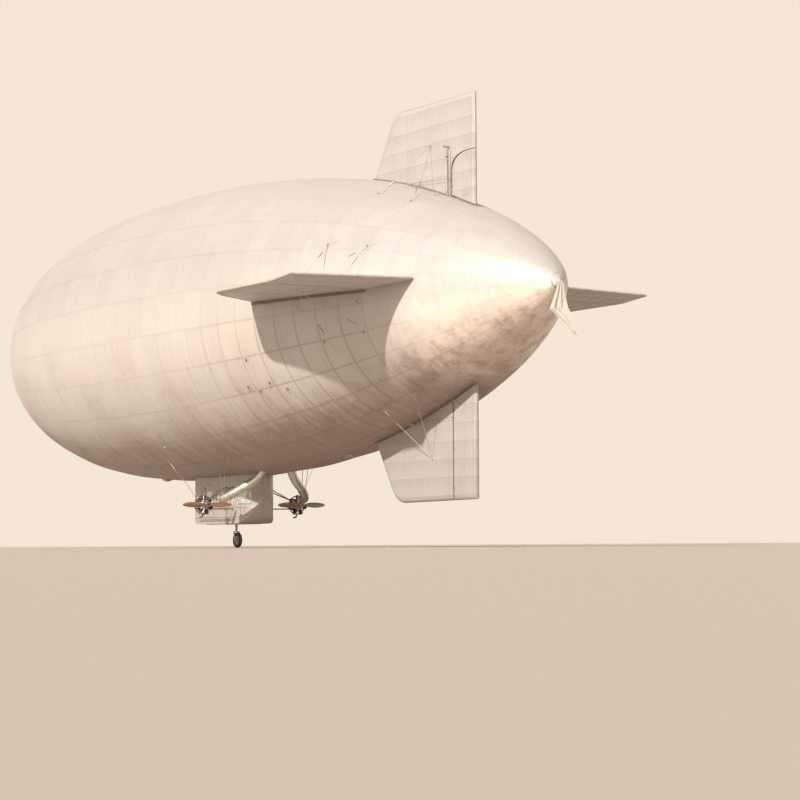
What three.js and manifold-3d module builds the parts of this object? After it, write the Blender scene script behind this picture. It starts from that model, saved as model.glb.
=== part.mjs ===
// Non-rigid airship with four tail fins, a hollow car under the hull and two pusher engines.
// Millimetres. +X is forward, +Y is to port and +Z is up. The origin lies on the hull's axis
// at the centre of buoyancy.

import * as THREE from 'three';
import { mergeVertices } from 'three/addons/utils/BufferGeometryUtils.js';
import Module from 'manifold-3d';

const wasm = await Module();
wasm.setup();

// Driving dimensions
const seatGap = 0.3;             // between pieces that touch
const runGap = 12;               // between pieces that move past each other
const pinSlack = 0.8;            // between a pin and its bore

const hull = {
  length: 39000,
  radius: 5640,
  noseX: 17900,                  // the nose, ahead of the origin
  fullest: 15160,                // from the nose to the fullest section
  nosePower: 2.36,
  tailPower: 2.33,
  tailTaper: 0.735,
  skin: 10,
  sides: 36,
  stations: 22,
  noseHole: 150,                 // radius of the filling hole under the nose cap
  noseStations: [20, 85],        // extra ones, as far behind the nose
};
const tailX = hull.noseX - hull.length;

const fin = {
  trailingX: tailX + 4760,       // at the tips
  thickness: 150,
  edge: 190,                     // width of the rounded edge
  cornerRadius: 560,
  controlChord: 1350,            // from the trailing edge to the hinge line
  rootDepth: 350,                // how far the blank reaches into the hull before it is cut
  rudderRise: 100,               // clearance between a control surface and the hull
};
const hingeX = fin.trailingX + fin.controlChord;

// One row for each fin: how far it is turned about the hull's axis, the height of its plane
// above the axis, its plan, its tip's distance from the axis, the heights of its hinges, its
// control surface with the angle it rests at, and the names of its two faces. A plan has its
// chords, ahead of the tip's trailing edge, and how far the root's trailing edge lies behind it.
const uprightPlan = { rootChord: 6500, tipChord: 5130, trail: 0 };
const levelPlan = { rootChord: 7000, tipChord: 5330, trail: 500 };
const levelRise = 190;
const elevatorSet = 5;
const finTable = [
  {
    name: 'upper', turn: 0, rise: 0, plan: uprightPlan, tip: 6830, hinges: [3750, 4180],
    control: 'rudder_upper', set: 0, faces: ['starboard', 'port'],
  },
  {
    name: 'port', turn: -90, rise: levelRise, plan: levelPlan, tip: 7080, hinges: [3800, 5200, 6600],
    control: 'elevator_port', set: elevatorSet, faces: ['upper', 'lower'],
  },
  {
    name: 'lower', turn: 180, rise: 0, plan: uprightPlan, tip: 6830, hinges: [3800, 5100, 6400],
    control: 'rudder_lower', set: 0, faces: ['port', 'starboard'],
  },
  {
    name: 'starboard', turn: 90, rise: levelRise, plan: levelPlan, tip: 7080, hinges: [3800, 5200, 6600],
    control: 'elevator_starboard', set: elevatorSet, faces: ['lower', 'upper'],
  },
];

const insetRudder = { top: 4880, cornerLong: 780, cornerTall: 620, gap: 28 };
const hinge = {
  lugTall: 50,
  lugThick: 36,
  lugRoot: 80,
  reach: 25,                     // of a lug behind its pin's axis
  pinRadius: 14,
  pinLength: 140,
  pocketGap: 8,
};
const horn = { reach: 210, radius: 18, height: 4020 };
const cablePost = {
  x: hingeX + 180,
  arms: [[5120, 320, 28], [4800, 230, 22]],   // height, half length and radius
  strutY: 165,
  strutRadius: 24,
  strutFoot: 2900,
};
const stay = {
  radius: 9,
  padAhead: 2700,                // from the trailing edge
  finSpan: 5350,
  footSpread: 900,
  footTurn: 24,                  // degrees round the hull from the fin
  footDepth: 90,
  padRadius: 45,
  padThick: 40,
};

const car = {
  front: 3900,
  rear: -1500,
  noseStart: 2700,
  tailStart: -350,
  halfWidth: 740,
  rearHalfWidth: 190,
  bottom: -7420,
  top: -5300,
  wall: 30,
  floorLine: -7150,              // where the tub meets the side panels
  windowLow: -6720,
  windowHigh: -6080,
  roofZ: -5720,
  roofThick: 25,
  glass: 6,
};
const sideWindows = {
  port: [[-230, 480], [620, 1330]],
  starboard: [[-230, 480], [620, 1330], [1500, 2330]],
};
const door = {
  from: 1500,
  to: 2300,
  high: -5860,
  gap: 8,
  windowMargin: 110,
  axisX: 2296,
  axisY: 762,
  pinRadius: 9,
  knuckleRadius: 18,
  knuckles: [-6980, -6020],
  knuckleHalf: 40,
};

const engine = {
  x: -250,
  y: 2050,
  z: -6700,
  cylinders: 7,
  caseRadius: 170,
  caseHalf: 140,
  barrelRadius: 50,
  finHeights: [215, 265, 315],
  finReach: 26,
  headLow: 345,
  headRadius: 400,
  exhaust: { radius: 345, pipe: 24, x: 72 },
  shaftRadius: 30,
  shaftEnd: -432,
  propPlane: -330,
  hubRadius: 105,
  hubHalf: 62,
};
const propeller = {
  radius: 1050,
  chord: 200,
  thickness: 34,
  pitch: 1300,
  root: 40,                      // where the blades start inside the hub
  taperFrom: 0.88,
  facets: 8,
  steps: 9,
};

// Frames of tubes carry the engines on the car's sides: a round plate behind each crankcase
// and tubes to feet on the wall, one row of x and z for each foot.
const outriggerRing = {
  thick: 23,
  radius: 250,
  tubeEnd: 150,
  tubeRadius: 22,
  feet: [[420, -6000], [420, -6850], [-160, -6000], [-160, -6850]],
  padX: 55,
  padZ: 45,
  padThick: 14,
};
const scoop = {
  outer: 165,
  inner: 153,
  path: [
    [-1180, 1750, -6480],
    [-1450, 1700, -6440],
    [-1900, 1350, -6150],
    [-2240, 850, -5780],
    [-2400, 560, -5350],
  ],
};

const wheel = {
  x: 900,
  z: -8050,
  radius: 300,
  width: 150,
  rimRadius: 165,
  hubRadius: 70,
  axleRadius: 22,
  trail: 90,                     // the axle lies behind the castor's pin
  forkGap: 20,
  legThick: 22,
  pinRadius: 26,
  pinRise: 24,                   // how far the castor's pin stands into the floor
  collarRadius: 48,
};
const rail = { z: -7250, y: 810, radius: 14, from: -250, to: 2650, stubs: [-150, 1180, 2500] };

// Materials
const finish = (color, roughness, metalness, more = {}) => (
  new THREE.MeshStandardMaterial({ color, roughness, metalness, ...more }));
const materials = {
  dopedHull: finish(0xded4c0, 0.5, 0.25),
  dopedFin: finish(0xd8ccb8, 0.55, 0.2),
  cloth: finish(0xe8dcc6, 0.85, 0),
  wood: finish(0x9a7a55, 0.5, 0),
  paintedCar: finish(0xb9b1a2, 0.45, 0.3),
  glass: finish(0xcfd8d8, 0.08, 0, { transparent: true, opacity: 0.35 }),
  leather: finish(0x5a4330, 0.6, 0),
  steel: finish(0x6f6a63, 0.4, 0.8),
  castIron: finish(0x4b4742, 0.6, 0.6),
  aluminium: finish(0xb8b2a6, 0.35, 0.85),
  tyre: finish(0x2b2927, 0.85, 0),
};

// Geometry helpers
const radians = THREE.MathUtils.degToRad;

function triangles(geometry) {
  const index = geometry.index.array;
  const kept = [];
  for (let i = 0; i < index.length; i += 3) {
    const [a, b, c] = [index[i], index[i + 1], index[i + 2]];
    if (a !== b && b !== c && c !== a) kept.push(a, b, c);
  }
  return kept;
}

function welded(geometry) {
  const bare = geometry.clone();
  bare.deleteAttribute('normal');
  bare.deleteAttribute('uv');
  const joined = mergeVertices(bare, 1e-3);
  joined.setIndex(triangles(joined));
  return joined;
}

function signedVolume(geometry) {
  const place = geometry.attributes.position;
  const index = geometry.index.array;
  const [a, b, c] = [new THREE.Vector3(), new THREE.Vector3(), new THREE.Vector3()];
  let sum = 0;
  for (let i = 0; i < index.length; i += 3) {
    a.fromBufferAttribute(place, index[i]);
    b.fromBufferAttribute(place, index[i + 1]);
    c.fromBufferAttribute(place, index[i + 2]);
    sum += a.dot(b.cross(c));
  }
  return sum / 6;
}

// A closed copy of the geometry whose faces point out.
function closed(geometry) {
  const joined = welded(geometry);
  if (signedVolume(joined) < 0) joined.setIndex([...joined.index.array].reverse());
  return joined;
}

function solidOf(geometry) {
  const shape = closed(geometry);
  return new wasm.Manifold(new wasm.Mesh({
    numProp: 3,
    vertProperties: new Float32Array(shape.attributes.position.array),
    triVerts: new Uint32Array(shape.index.array),
  }));
}

function geometryOf(solid) {
  const mesh = solid.getMesh();
  const geometry = new THREE.BufferGeometry();
  geometry.setAttribute('position', new THREE.BufferAttribute(new Float32Array(mesh.vertProperties), 3));
  geometry.setIndex(new THREE.BufferAttribute(new Uint32Array(mesh.triVerts), 1));
  return geometry;
}

function fuse(...pieces) {
  return geometryOf(pieces.map(solidOf).reduce((whole, next) => whole.add(next)));
}

function cut(piece, ...tools) {
  const start = solidOf(piece);
  return geometryOf(tools.map(solidOf).reduce((whole, tool) => whole.subtract(tool), start));
}

function common(piece, other) {
  return geometryOf(solidOf(piece).intersect(solidOf(other)));
}

// A box between two opposite corners.
function block(from, to) {
  const size = to.map((value, i) => Math.abs(value - from[i]));
  const middle = to.map((value, i) => (value + from[i]) / 2);
  return new THREE.BoxGeometry(...size).translate(...middle);
}

// A round rod between two points.
function rod(from, to, radius, sides = 8) {
  const [start, end] = [new THREE.Vector3(...from), new THREE.Vector3(...to)];
  const run = end.clone().sub(start);
  const turn = new THREE.Quaternion().setFromUnitVectors(new THREE.Vector3(0, 1, 0), run.clone().normalize());
  const middle = start.add(end).multiplyScalar(0.5);
  return new THREE.CylinderGeometry(radius, radius, run.length(), sides)
    .applyQuaternion(turn)
    .translate(middle.x, middle.y, middle.z);
}

// A profile of [x, radius] points turned about the X axis.
function latheX(points, sides) {
  const profile = points.map(([x, radius]) => new THREE.Vector2(radius, x));
  return closed(new THREE.LatheGeometry(profile, sides).rotateZ(-Math.PI / 2));
}

// An outline in the X-Z plane, given a thickness along Y and centred on y.
function slabXZ(shape, thickness, y = 0, curveSegments = 8) {
  return new THREE.ExtrudeGeometry(shape, { depth: thickness, bevelEnabled: false, curveSegments })
    .translate(0, 0, -thickness / 2)
    .rotateX(Math.PI / 2)
    .translate(0, y, 0);
}

// An outline in the X-Y plane between two heights.
function slabXY(shape, low, high, curveSegments = 10) {
  return new THREE.ExtrudeGeometry(shape, { depth: high - low, bevelEnabled: false, curveSegments })
    .translate(0, 0, low);
}

const polygon = (points) => new THREE.Shape(points.map(([x, y]) => new THREE.Vector2(x, y)));

// Hull form
function hullRadiusAt(x) {
  const fromNose = hull.noseX - x;
  if (fromNose <= 0 || fromNose >= hull.length) return 0;
  if (fromNose < hull.fullest) {
    const ahead = (hull.fullest - fromNose) / hull.fullest;
    return hull.radius * (1 - ahead ** hull.nosePower) ** (1 / hull.nosePower);
  }
  const behind = (fromNose - hull.fullest) / (hull.length - hull.fullest);
  return hull.radius * (1 - behind ** hull.tailPower) ** hull.tailTaper;
}

// Stations crowd towards both ends, where the hull curves most.
const hullStations = [
  ...Array.from({ length: hull.stations + 1 }, (_, k) => (
    tailX + hull.length * (1 - Math.cos((Math.PI * k) / hull.stations)) / 2)),
  ...hull.noseStations.map((behind) => hull.noseX - behind),
].sort((a, b) => a - b);

// Profile points from the stern to the nose, moved out from the surface by an offset.
function hullProfile(offset) {
  return hullStations.map((x) => {
    const step = 10;
    const [before, after] = [hullRadiusAt(x - step), hullRadiusAt(x + step)];
    const slope = new THREE.Vector2(-(after - before), 2 * step).normalize();
    return [x + slope.x * offset, Math.max(hullRadiusAt(x) + slope.y * offset, 0)];
  });
}

// The two end points of the profile lie on the axis.
function hullSolid(offset) {
  const profile = hullProfile(offset);
  profile[0] = [tailX - offset, 0];
  profile[profile.length - 1] = [hull.noseX + offset, 0];
  return latheX(profile, hull.sides);
}

const seatedHull = hullSolid(seatGap);

function envelope() {
  const outer = hullSolid(0);
  const inner = hullSolid(-hull.skin);
  const hole = rod([hull.noseX - 300, 0, 0], [hull.noseX + 300, 0, 0], hull.noseHole, 24);
  return cut(outer, inner, hole);
}

// Nose and stern fittings
const battens = { pairs: 6, width: 70, thick: 28, length: 900, hubRadius: 330 };
const noseCap = {
  seat: 120,                     // how far the flange wraps back round the nose
  flangeRadius: 310,
  thick: 16,
  coneLength: 250,
  coneRadius: 190,
  spindleRadius: 62,
  spindleEnd: 400,
  faceRadius: 95,
  faceThick: 60,
};

function noseBattens() {
  const shell = cut(hullSolid(battens.thick), seatedHull);
  const behind = block([tailX - 900, -9000, -9000], [hull.noseX - battens.length, 9000, 9000]);
  const crosses = Array.from({ length: battens.pairs }, (_, k) => (
    block([hull.noseX - 2000, -9000, -battens.width / 2], [hull.noseX + 2000, 9000, battens.width / 2])
      .rotateX((Math.PI * k) / battens.pairs)
  ));
  const hub = rod([hull.noseX - 600, 0, 0], [hull.noseX + 600, 0, 0], battens.hubRadius, 24);
  const centreHole = rod([hull.noseX - 600, 0, 0], [hull.noseX + 600, 0, 0], hull.noseHole, 24);
  return cut(common(cut(shell, behind), fuse(hub, ...crosses)), centreHole);
}

function noseCapDish() {
  const front = hull.noseX + battens.thick + seatGap;
  const faceBack = front + noseCap.spindleEnd - noseCap.faceThick;
  const cone = latheX([
    [front - noseCap.seat, 0],
    [front - noseCap.seat, noseCap.flangeRadius],
    [front + noseCap.thick - 40, noseCap.flangeRadius],
    [front + noseCap.thick + 20, noseCap.coneRadius],
    [front + noseCap.coneLength, noseCap.spindleRadius],
    [faceBack, noseCap.spindleRadius],
    [faceBack, noseCap.faceRadius],
    [front + noseCap.spindleEnd, noseCap.faceRadius],
    [front + noseCap.spindleEnd, 0],
  ], 24);
  return cut(cone, hullSolid(battens.thick + seatGap));
}

const sternCap = { depth: 150, thick: 14, rodLength: 150, rodRadius: 16 };

function sternCapDish() {
  const reach = block([tailX - 60, -1000, -1000], [tailX + sternCap.depth, 1000, 1000]);
  const dish = common(hullSolid(sternCap.thick), reach);
  const staff = rod([tailX + 10, 0, 0], [tailX - sternCap.rodLength, 0, 0], sternCap.rodRadius, 10);
  return cut(fuse(dish, staff), seatedHull);
}

// The pennant hangs from the stern rod in loose folds: a flat closed form of its true outline.
const pennant = { thick: 30, turn: -123, behind: 90 };
const pennantOutline = [[-110, 0], [40, 0], [60, -320], [190, -870], [420, -1350], [470, -1790], [300, -1640],
  [130, -1350], [-100, -1160], [-420, -900], [-250, -450]];

function sternPennant() {
  return slabXZ(polygon(pennantOutline), pennant.thick)
    .rotateZ(radians(pennant.turn))
    .translate(tailX - pennant.behind, 0, -sternCap.rodRadius - seatGap);
}

// A round flange that lies on the hull, turned about its axis from straight up.
function hullFlange(x, turn, radius, tall) {
  const reach = hullRadiusAt(x);
  const slope = Math.atan2(hullRadiusAt(x + 50) - hullRadiusAt(x - 50), 100);
  const drum = fuse(
    rod([0, 0, tall / 2 - 240], [0, 0, tall / 2], radius, 24),
    rod([0, 0, 0], [0, 0, tall], radius * 0.7, 24),
  );
  const placed = drum.rotateY(-slope).translate(x, 0, reach).rotateX(radians(turn));
  return cut(placed, seatedHull);
}

// Fins, in the frame of the upper one: X along the hull and Z away from its axis
function finOutline({ plan, tip }) {
  const leadingRootX = fin.trailingX + plan.rootChord;
  const leadingTipX = fin.trailingX + plan.tipChord;
  const root = hullRadiusAt(leadingRootX);
  const sweep = new THREE.Vector2(leadingTipX - leadingRootX, tip - root).normalize();
  const low = hullRadiusAt(fin.trailingX) - fin.rootDepth;
  const lowAhead = leadingRootX - sweep.x * ((root - low) / sweep.y);
  const shape = new THREE.Shape();
  shape.moveTo(fin.trailingX - plan.trail, low);
  shape.lineTo(lowAhead, low);
  shape.lineTo(leadingTipX - sweep.x * fin.cornerRadius, tip - sweep.y * fin.cornerRadius);
  shape.quadraticCurveTo(leadingTipX, tip, leadingTipX - fin.cornerRadius, tip);
  shape.lineTo(fin.trailingX, tip - 50);
  return shape;
}

function finBlank(row) {
  const rounded = fin.thickness * 0.42;
  return new THREE.ExtrudeGeometry(finOutline(row), {
    depth: fin.thickness - 2 * rounded,
    bevelEnabled: true,
    bevelThickness: rounded,
    bevelSize: fin.edge,
    bevelOffset: -fin.edge,
    bevelSegments: 3,
    curveSegments: 6,
  }).translate(0, 0, -fin.thickness / 2 + rounded).rotateX(Math.PI / 2);
}

const noseRadius = fin.thickness / 2;
const farBack = fin.trailingX - 1000;

// The region behind the hinge line: the whole height, or the inset rudder's outline.
function controlRegion(row, grow) {
  const front = hingeX + grow;
  if (row.name !== 'upper') return block([farBack, -500, 0], [front, 500, 9000]);
  const top = insetRudder.top + (grow > 0 ? insetRudder.gap : 0);
  const shape = new THREE.Shape();
  shape.moveTo(farBack, 0);
  shape.lineTo(front, 0);
  shape.lineTo(front, top - insetRudder.cornerTall);
  shape.quadraticCurveTo(front, top - 120, front - insetRudder.cornerLong, top - 40);
  shape.lineTo(farBack, top);
  shape.closePath();
  return slabXZ(shape, 1000);
}

function hingeLugs(row) {
  return row.hinges.flatMap((height) => [
    block(
      [hingeX - hinge.reach, -hinge.lugThick / 2, height - hinge.lugTall / 2],
      [hingeX + noseRadius + runGap + hinge.lugRoot, hinge.lugThick / 2, height + hinge.lugTall / 2],
    ),
    rod(
      [hingeX, 0, height - hinge.pinLength / 2],
      [hingeX, 0, height + hinge.pinLength / 2],
      hinge.pinRadius,
      12,
    ),
  ]);
}

function hingePockets(row) {
  const half = hinge.lugTall / 2 + hinge.pocketGap;
  const boreHalf = hinge.pinLength / 2 + 10;
  return row.hinges.flatMap((height) => [
    block([hingeX - hinge.reach - 20, -500, height - half], [hingeX + 300, 500, height + half]),
    rod([hingeX, 0, height - boreHalf], [hingeX, 0, height + boreHalf], hinge.pinRadius + pinSlack, 12),
  ]);
}

function fixedFin(row, hullTool) {
  const swept = controlRegion(row, noseRadius + runGap);
  const pieces = [cut(finBlank(row), swept), ...hingeLugs(row)];
  if (row.name === 'upper') {
    const { x, arms, strutY, strutRadius, strutFoot } = cablePost;
    for (const [height, half, radius] of arms) {
      pieces.push(rod([x, -half, height], [x, half, height], radius));
    }
    for (const y of [-strutY, strutY]) {
      pieces.push(rod([x, y, strutFoot], [x, y, arms[0][0]], strutRadius));
    }
  }
  return cut(fuse(...pieces), hullTool);
}

function controlSurface(row, hullTool) {
  const inset = row.name === 'upper';
  const noseTop = inset ? insetRudder.top - insetRudder.cornerTall : row.tip - fin.edge;
  const body = common(finBlank(row), controlRegion(row, 0));
  const pieces = [body, rod([hingeX, 0, 2800], [hingeX, 0, noseTop], noseRadius, 16)];
  if (row.turn % 180 === 0) {
    pieces.push(rod([hingeX, -horn.reach, horn.height], [hingeX, horn.reach, horn.height], horn.radius));
  }
  return cut(fuse(...pieces), ...hingePockets(row), hullTool);
}

// Stays run from a pad on the fin to two feet on the hull, one pair on each face of each fin.
function finStay(side) {
  const padX = fin.trailingX + stay.padAhead;
  const faceY = side * (fin.thickness / 2 + seatGap);
  const outY = faceY + side * stay.padThick;
  const pad = rod([padX, faceY, stay.finSpan], [padX, outY, stay.finSpan], stay.padRadius, 8);
  const wires = [-1, 1].map((way) => {
    const x = padX + way * stay.footSpread;
    const reach = hullRadiusAt(x) - stay.footDepth;
    const turn = radians(stay.footTurn);
    const foot = [x, side * reach * Math.sin(turn), reach * Math.cos(turn)];
    return rod([padX, (faceY + outY) / 2, stay.finSpan], foot, stay.radius, 6);
  });
  return fuse(pad, ...wires);
}

const farOut = 2000;             // past either side of the car

// The car: a boat-shaped tub with flat sides, set in from its outer face by an inset
function carPlan(inset) {
  const half = car.halfWidth - inset;
  const rearHalf = car.rearHalfWidth - inset;
  const shape = new THREE.Shape();
  shape.moveTo(car.rear + inset, -rearHalf);
  shape.quadraticCurveTo((car.rear + car.tailStart) / 2, -half, car.tailStart, -half);
  shape.lineTo(car.noseStart, -half);
  shape.absellipse(car.noseStart, 0, car.front - car.noseStart - inset, half, -Math.PI / 2, Math.PI / 2);
  shape.lineTo(car.tailStart, half);
  shape.quadraticCurveTo((car.rear + car.tailStart) / 2, half, car.rear + inset, rearHalf);
  shape.closePath();
  return shape;
}

function carSideView(inset) {
  const bottom = car.bottom + inset;
  const shape = new THREE.Shape();
  shape.moveTo(car.tailStart, bottom);
  shape.lineTo(car.noseStart, bottom);
  shape.quadraticCurveTo(car.front - 250 - inset, bottom, car.front - inset, -6780);
  shape.lineTo(car.front - 420 - inset, -5560);
  shape.lineTo(car.front - 420 - inset, car.top);
  shape.lineTo(car.rear + inset, car.top);
  shape.lineTo(car.rear + inset, -6550);
  shape.quadraticCurveTo(car.rear + 350, bottom, car.tailStart, bottom);
  shape.closePath();
  return shape;
}

function carSolid(inset) {
  const plan = slabXY(carPlan(inset), car.bottom - 100, car.top);
  return common(plan, slabXZ(carSideView(inset), 2 * farOut, 0, 6));
}

// A box that takes a stretch of one of the car's sides, port for a sign of 1.
function sideBox(sign, from, to, low, high) {
  return block([from, 0, low], [to, sign * farOut, high]);
}

function carPanels() {
  const openTop = slabXY(carPlan(car.wall), car.roofZ, car.top + 50);
  const shell = cut(carSolid(0), fuse(carSolid(car.wall), openTop), seatedHull);
  const [back, ahead, low, high] = [car.rear - 1000, car.front + 1000, car.bottom - 1000, car.top + 1000];
  const floor = car.floorLine;
  const zone = {
    car_tub: block([back, -farOut, low], [ahead, farOut, floor - seatGap]),
    car_nose: block([car.noseStart + seatGap, -farOut, floor], [ahead, farOut, high]),
    car_tail: block([back, -farOut, floor], [car.tailStart - seatGap, farOut, high]),
    car_side_port: sideBox(1, car.tailStart, car.noseStart, floor, high),
    car_side_starboard: sideBox(-1, car.tailStart, car.noseStart, floor, high),
  };
  const panels = {};
  for (const [name, region] of Object.entries(zone)) panels[name] = common(shell, region);
  for (const [side, sign] of [['port', 1], ['starboard', -1]]) {
    const windows = sideWindows[side].map(([from, to]) => (
      sideBox(sign, from, to, car.windowLow, car.windowHigh)));
    panels[`car_side_${side}`] = cut(panels[`car_side_${side}`], ...windows);
  }
  const { from, to, gap, windowMargin } = door;
  const doorway = sideBox(1, from, to, floor - 10, door.high);
  const doorLeaf = sideBox(1, from + gap, to - gap, floor + gap, door.high - gap);
  const doorWindow = sideBox(1, from + windowMargin, to - windowMargin, car.windowLow, car.windowHigh);
  const leaf = cut(common(panels.car_side_port, doorLeaf), doorWindow);
  panels.door = cut(fuse(leaf, ...doorKnuckles()), ...doorBores());
  panels.car_side_port = fuse(cut(panels.car_side_port, doorway), ...doorPins());
  panels.car_nose = cut(panels.car_nose, ...windscreenOpenings());
  panels.car_tail = cut(panels.car_tail, ...tailOpenings());
  return panels;
}

// The door turns on two upright pins that stand just outside the wall.
function doorKnuckles() {
  const { axisX, axisY, knuckleRadius, knuckleHalf } = door;
  return door.knuckles.flatMap((z) => [
    rod([axisX, axisY, z - knuckleHalf], [axisX, axisY, z + knuckleHalf], knuckleRadius, 12),
    block([axisX - 90, car.halfWidth - 4, z - knuckleHalf], [axisX - 2, axisY + 6, z + knuckleHalf]),
  ]);
}

const doorBores = () => door.knuckles.map((z) => (
  rod([door.axisX, door.axisY, z - 300], [door.axisX, door.axisY, z + 300], door.pinRadius + pinSlack, 12)));

function doorPins() {
  const { axisX, axisY, pinRadius, knuckleHalf, gap } = door;
  return door.knuckles.flatMap((z) => {
    const [low, high] = [z - knuckleHalf - gap - 30, z - knuckleHalf - gap];
    return [
      rod([axisX, axisY, low], [axisX, axisY, z + knuckleHalf - 10], pinRadius, 12),
      block([axisX - 9, axisY - 10, low], [axisX + 90, axisY + 10, high]),
      block([axisX + 12, car.halfWidth - 4, low], [axisX + 90, axisY + 10, high]),
    ];
  });
}

// Three panes wrap round the nose, between pillars that stand on rays from a point behind it.
const windscreen = { centre: car.noseStart + 120, reach: 2200, panes: [[-78, -29], [-23, 23], [29, 78]] };

function windscreenOpenings() {
  const { centre, reach, panes } = windscreen;
  return panes.map((angles) => {
    const ends = angles.map(radians).map((angle) => (
      [centre + reach * Math.cos(angle), reach * Math.sin(angle)]));
    return slabXY(polygon([[centre, 0], ...ends]), car.windowLow, car.windowHigh);
  });
}

const tailWindow = { from: -1150, to: -520, low: -6660, high: -6120 };
const tailOpenings = () => [
  block([tailWindow.from, -farOut, tailWindow.low], [tailWindow.to, farOut, tailWindow.high]),
];

// Glass lies against the inner face of the walls.
function carGlass(region) {
  return common(cut(carSolid(car.wall + seatGap), carSolid(car.wall + seatGap + car.glass)), region);
}

const lap = 25;
const glassBand = [car.windowLow - lap, car.windowHigh + lap];

const sideGlass = (sign, from, to) => carGlass(sideBox(sign, from - lap, to + lap, ...glassBand));
const tailGlass = (sign) => carGlass(
  sideBox(sign, tailWindow.from - lap, tailWindow.to + lap, tailWindow.low - lap, tailWindow.high + lap));
const noseGlass = () => carGlass(
  block([car.noseStart + 2, -farOut, glassBand[0]], [car.front, farOut, glassBand[1]]));

function roofPanel() {
  const inside = slabXY(carPlan(car.wall + seatGap), car.roofZ, car.roofZ + car.roofThick);
  return common(inside, slabXZ(carSideView(car.wall + seatGap), 2 * farOut, 0, 6));
}

// Cabin fittings
const floorZ = car.bottom + car.wall + seatGap;
const cabin = carSolid(car.wall + seatGap);

const seat = {
  halfDeep: 230,
  low: 380,
  high: 480,
  backTop: 950,
  backThick: 80,
  legX: 190,
  legIn: 40,
  legRadius: 16,
};

function chair(x, y, width) {
  const { halfDeep, low, high, backTop, backThick, legX, legIn, legRadius } = seat;
  const legs = [-1, 1].flatMap((side) => [-legX, legX].map((dx) => {
    const legY = y + side * (width / 2 - legIn);
    return rod([x + dx, legY, floorZ], [x + dx, legY, floorZ + low + 20], legRadius, 6);
  }));
  const behind = x - halfDeep - backThick / 2;
  return fuse(
    block([x - halfDeep, y - width / 2, floorZ + low], [x + halfDeep, y + width / 2, floorZ + high]),
    block([behind, y - width / 2, floorZ + low], [behind + backThick, y + width / 2, floorZ + backTop]),
    ...legs,
  );
}

const handWheel = {
  axis: 620,
  radius: 290,
  rim: 16,
  spokes: [0, 60, 120],
  spokeRadius: 9,
  postRadius: 22,
  foot: 90,
};

function elevatorWheel(x, y) {
  const { radius, rim, spokes, spokeRadius, postRadius, foot } = handWheel;
  const axis = floorZ + handWheel.axis;
  const postY = y - 50;
  const ring = new THREE.TorusGeometry(radius, rim, 4, 16).rotateX(Math.PI / 2).translate(x, y, axis);
  const bars = spokes.map(radians).map((angle) => {
    const [c, s] = [radius * Math.cos(angle), radius * Math.sin(angle)];
    return rod([x - c, y, axis - s], [x + c, y, axis + s], spokeRadius, 6);
  });
  return fuse(
    ring,
    ...bars,
    rod([x, postY - 10, axis], [x, y + 35, axis], 34, 12),
    rod([x, postY, floorZ], [x, postY, axis], postRadius, 8),
    block([x - foot, postY - 50, floorZ], [x + foot, postY + 50, floorZ + 18]),
  );
}

// The board's two legs end on the rising floor of the nose.
const board = { x: 3035, thick: 30, halfWidth: 430, low: -6960, high: -6740, legY: 380, legRadius: 18 };

function instrumentBoard() {
  const { x, thick, halfWidth, low, high, legY, legRadius } = board;
  const panel = block([x - thick / 2, -halfWidth, low], [x + thick / 2, halfWidth, high]);
  const legs = [-legY, legY].map((y) => rod([x, y, floorZ - 50], [x, y, low + 60], legRadius, 6));
  return common(fuse(panel, ...legs), cabin);
}

function railSide(sign) {
  const { y, z, radius, stubs } = rail;
  const wallY = sign * (car.halfWidth + seatGap);
  return fuse(
    rod([rail.from, sign * y, z], [rail.to, sign * y, z], radius),
    ...stubs.map((x) => rod([x, wallY, z], [x, sign * y, z], radius, 6)),
  );
}

// Engine, in its own frame: the cylinders stand in the plane x = 0 and the shaft runs aft
function engineCylinder() {
  const { barrelRadius, finHeights, finReach, headLow, headRadius } = engine;
  const profile = [[0, 120], [barrelRadius, 120]];
  for (const height of finHeights) {
    profile.push([barrelRadius, height - 15], [barrelRadius + finReach, height], [barrelRadius, height + 15]);
  }
  profile.push([barrelRadius + 14, headLow], [barrelRadius + 14, headRadius - 15], [0, headRadius]);
  const points = profile.map(([radius, height]) => new THREE.Vector2(radius, height));
  return new THREE.LatheGeometry(points, 6).rotateX(Math.PI / 2);
}

function radialEngine() {
  const { caseRadius, caseHalf, shaftRadius, shaftEnd, exhaust } = engine;
  const crankcase = latheX([
    [-caseHalf - 50, 0],
    [-caseHalf - 50, 70],
    [-caseHalf, 140],
    [-60, caseRadius],
    [60, caseRadius],
    [caseHalf, 140],
    [caseHalf, 0],
  ], 12);
  const shaft = rod([-caseHalf, 0, 0], [shaftEnd, 0, 0], shaftRadius, 24);
  const nut = rod([shaftEnd, 0, 0], [shaftEnd + 26, 0, 0], 52, 6);
  const cylinders = Array.from({ length: engine.cylinders }, (_, k) => (
    engineCylinder().rotateX((2 * Math.PI * k) / engine.cylinders)));
  const ring = new THREE.TorusGeometry(exhaust.radius, exhaust.pipe, 4, 14)
    .rotateY(Math.PI / 2)
    .translate(exhaust.x, 0, 0);
  return fuse(crankcase, shaft, nut, ring, ...cylinders);
}

// A tank ahead of each engine: [distance from its back, radius]
const tankProfile = [[0, 0], [0, 175], [160, 185], [330, 140], [450, 60], [470, 0]];

function engineTank() {
  const start = engine.caseHalf + outriggerRing.thick + 2 * seatGap;
  return latheX(tankProfile.map(([x, radius]) => [start + x, radius]), 16);
}

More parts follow.
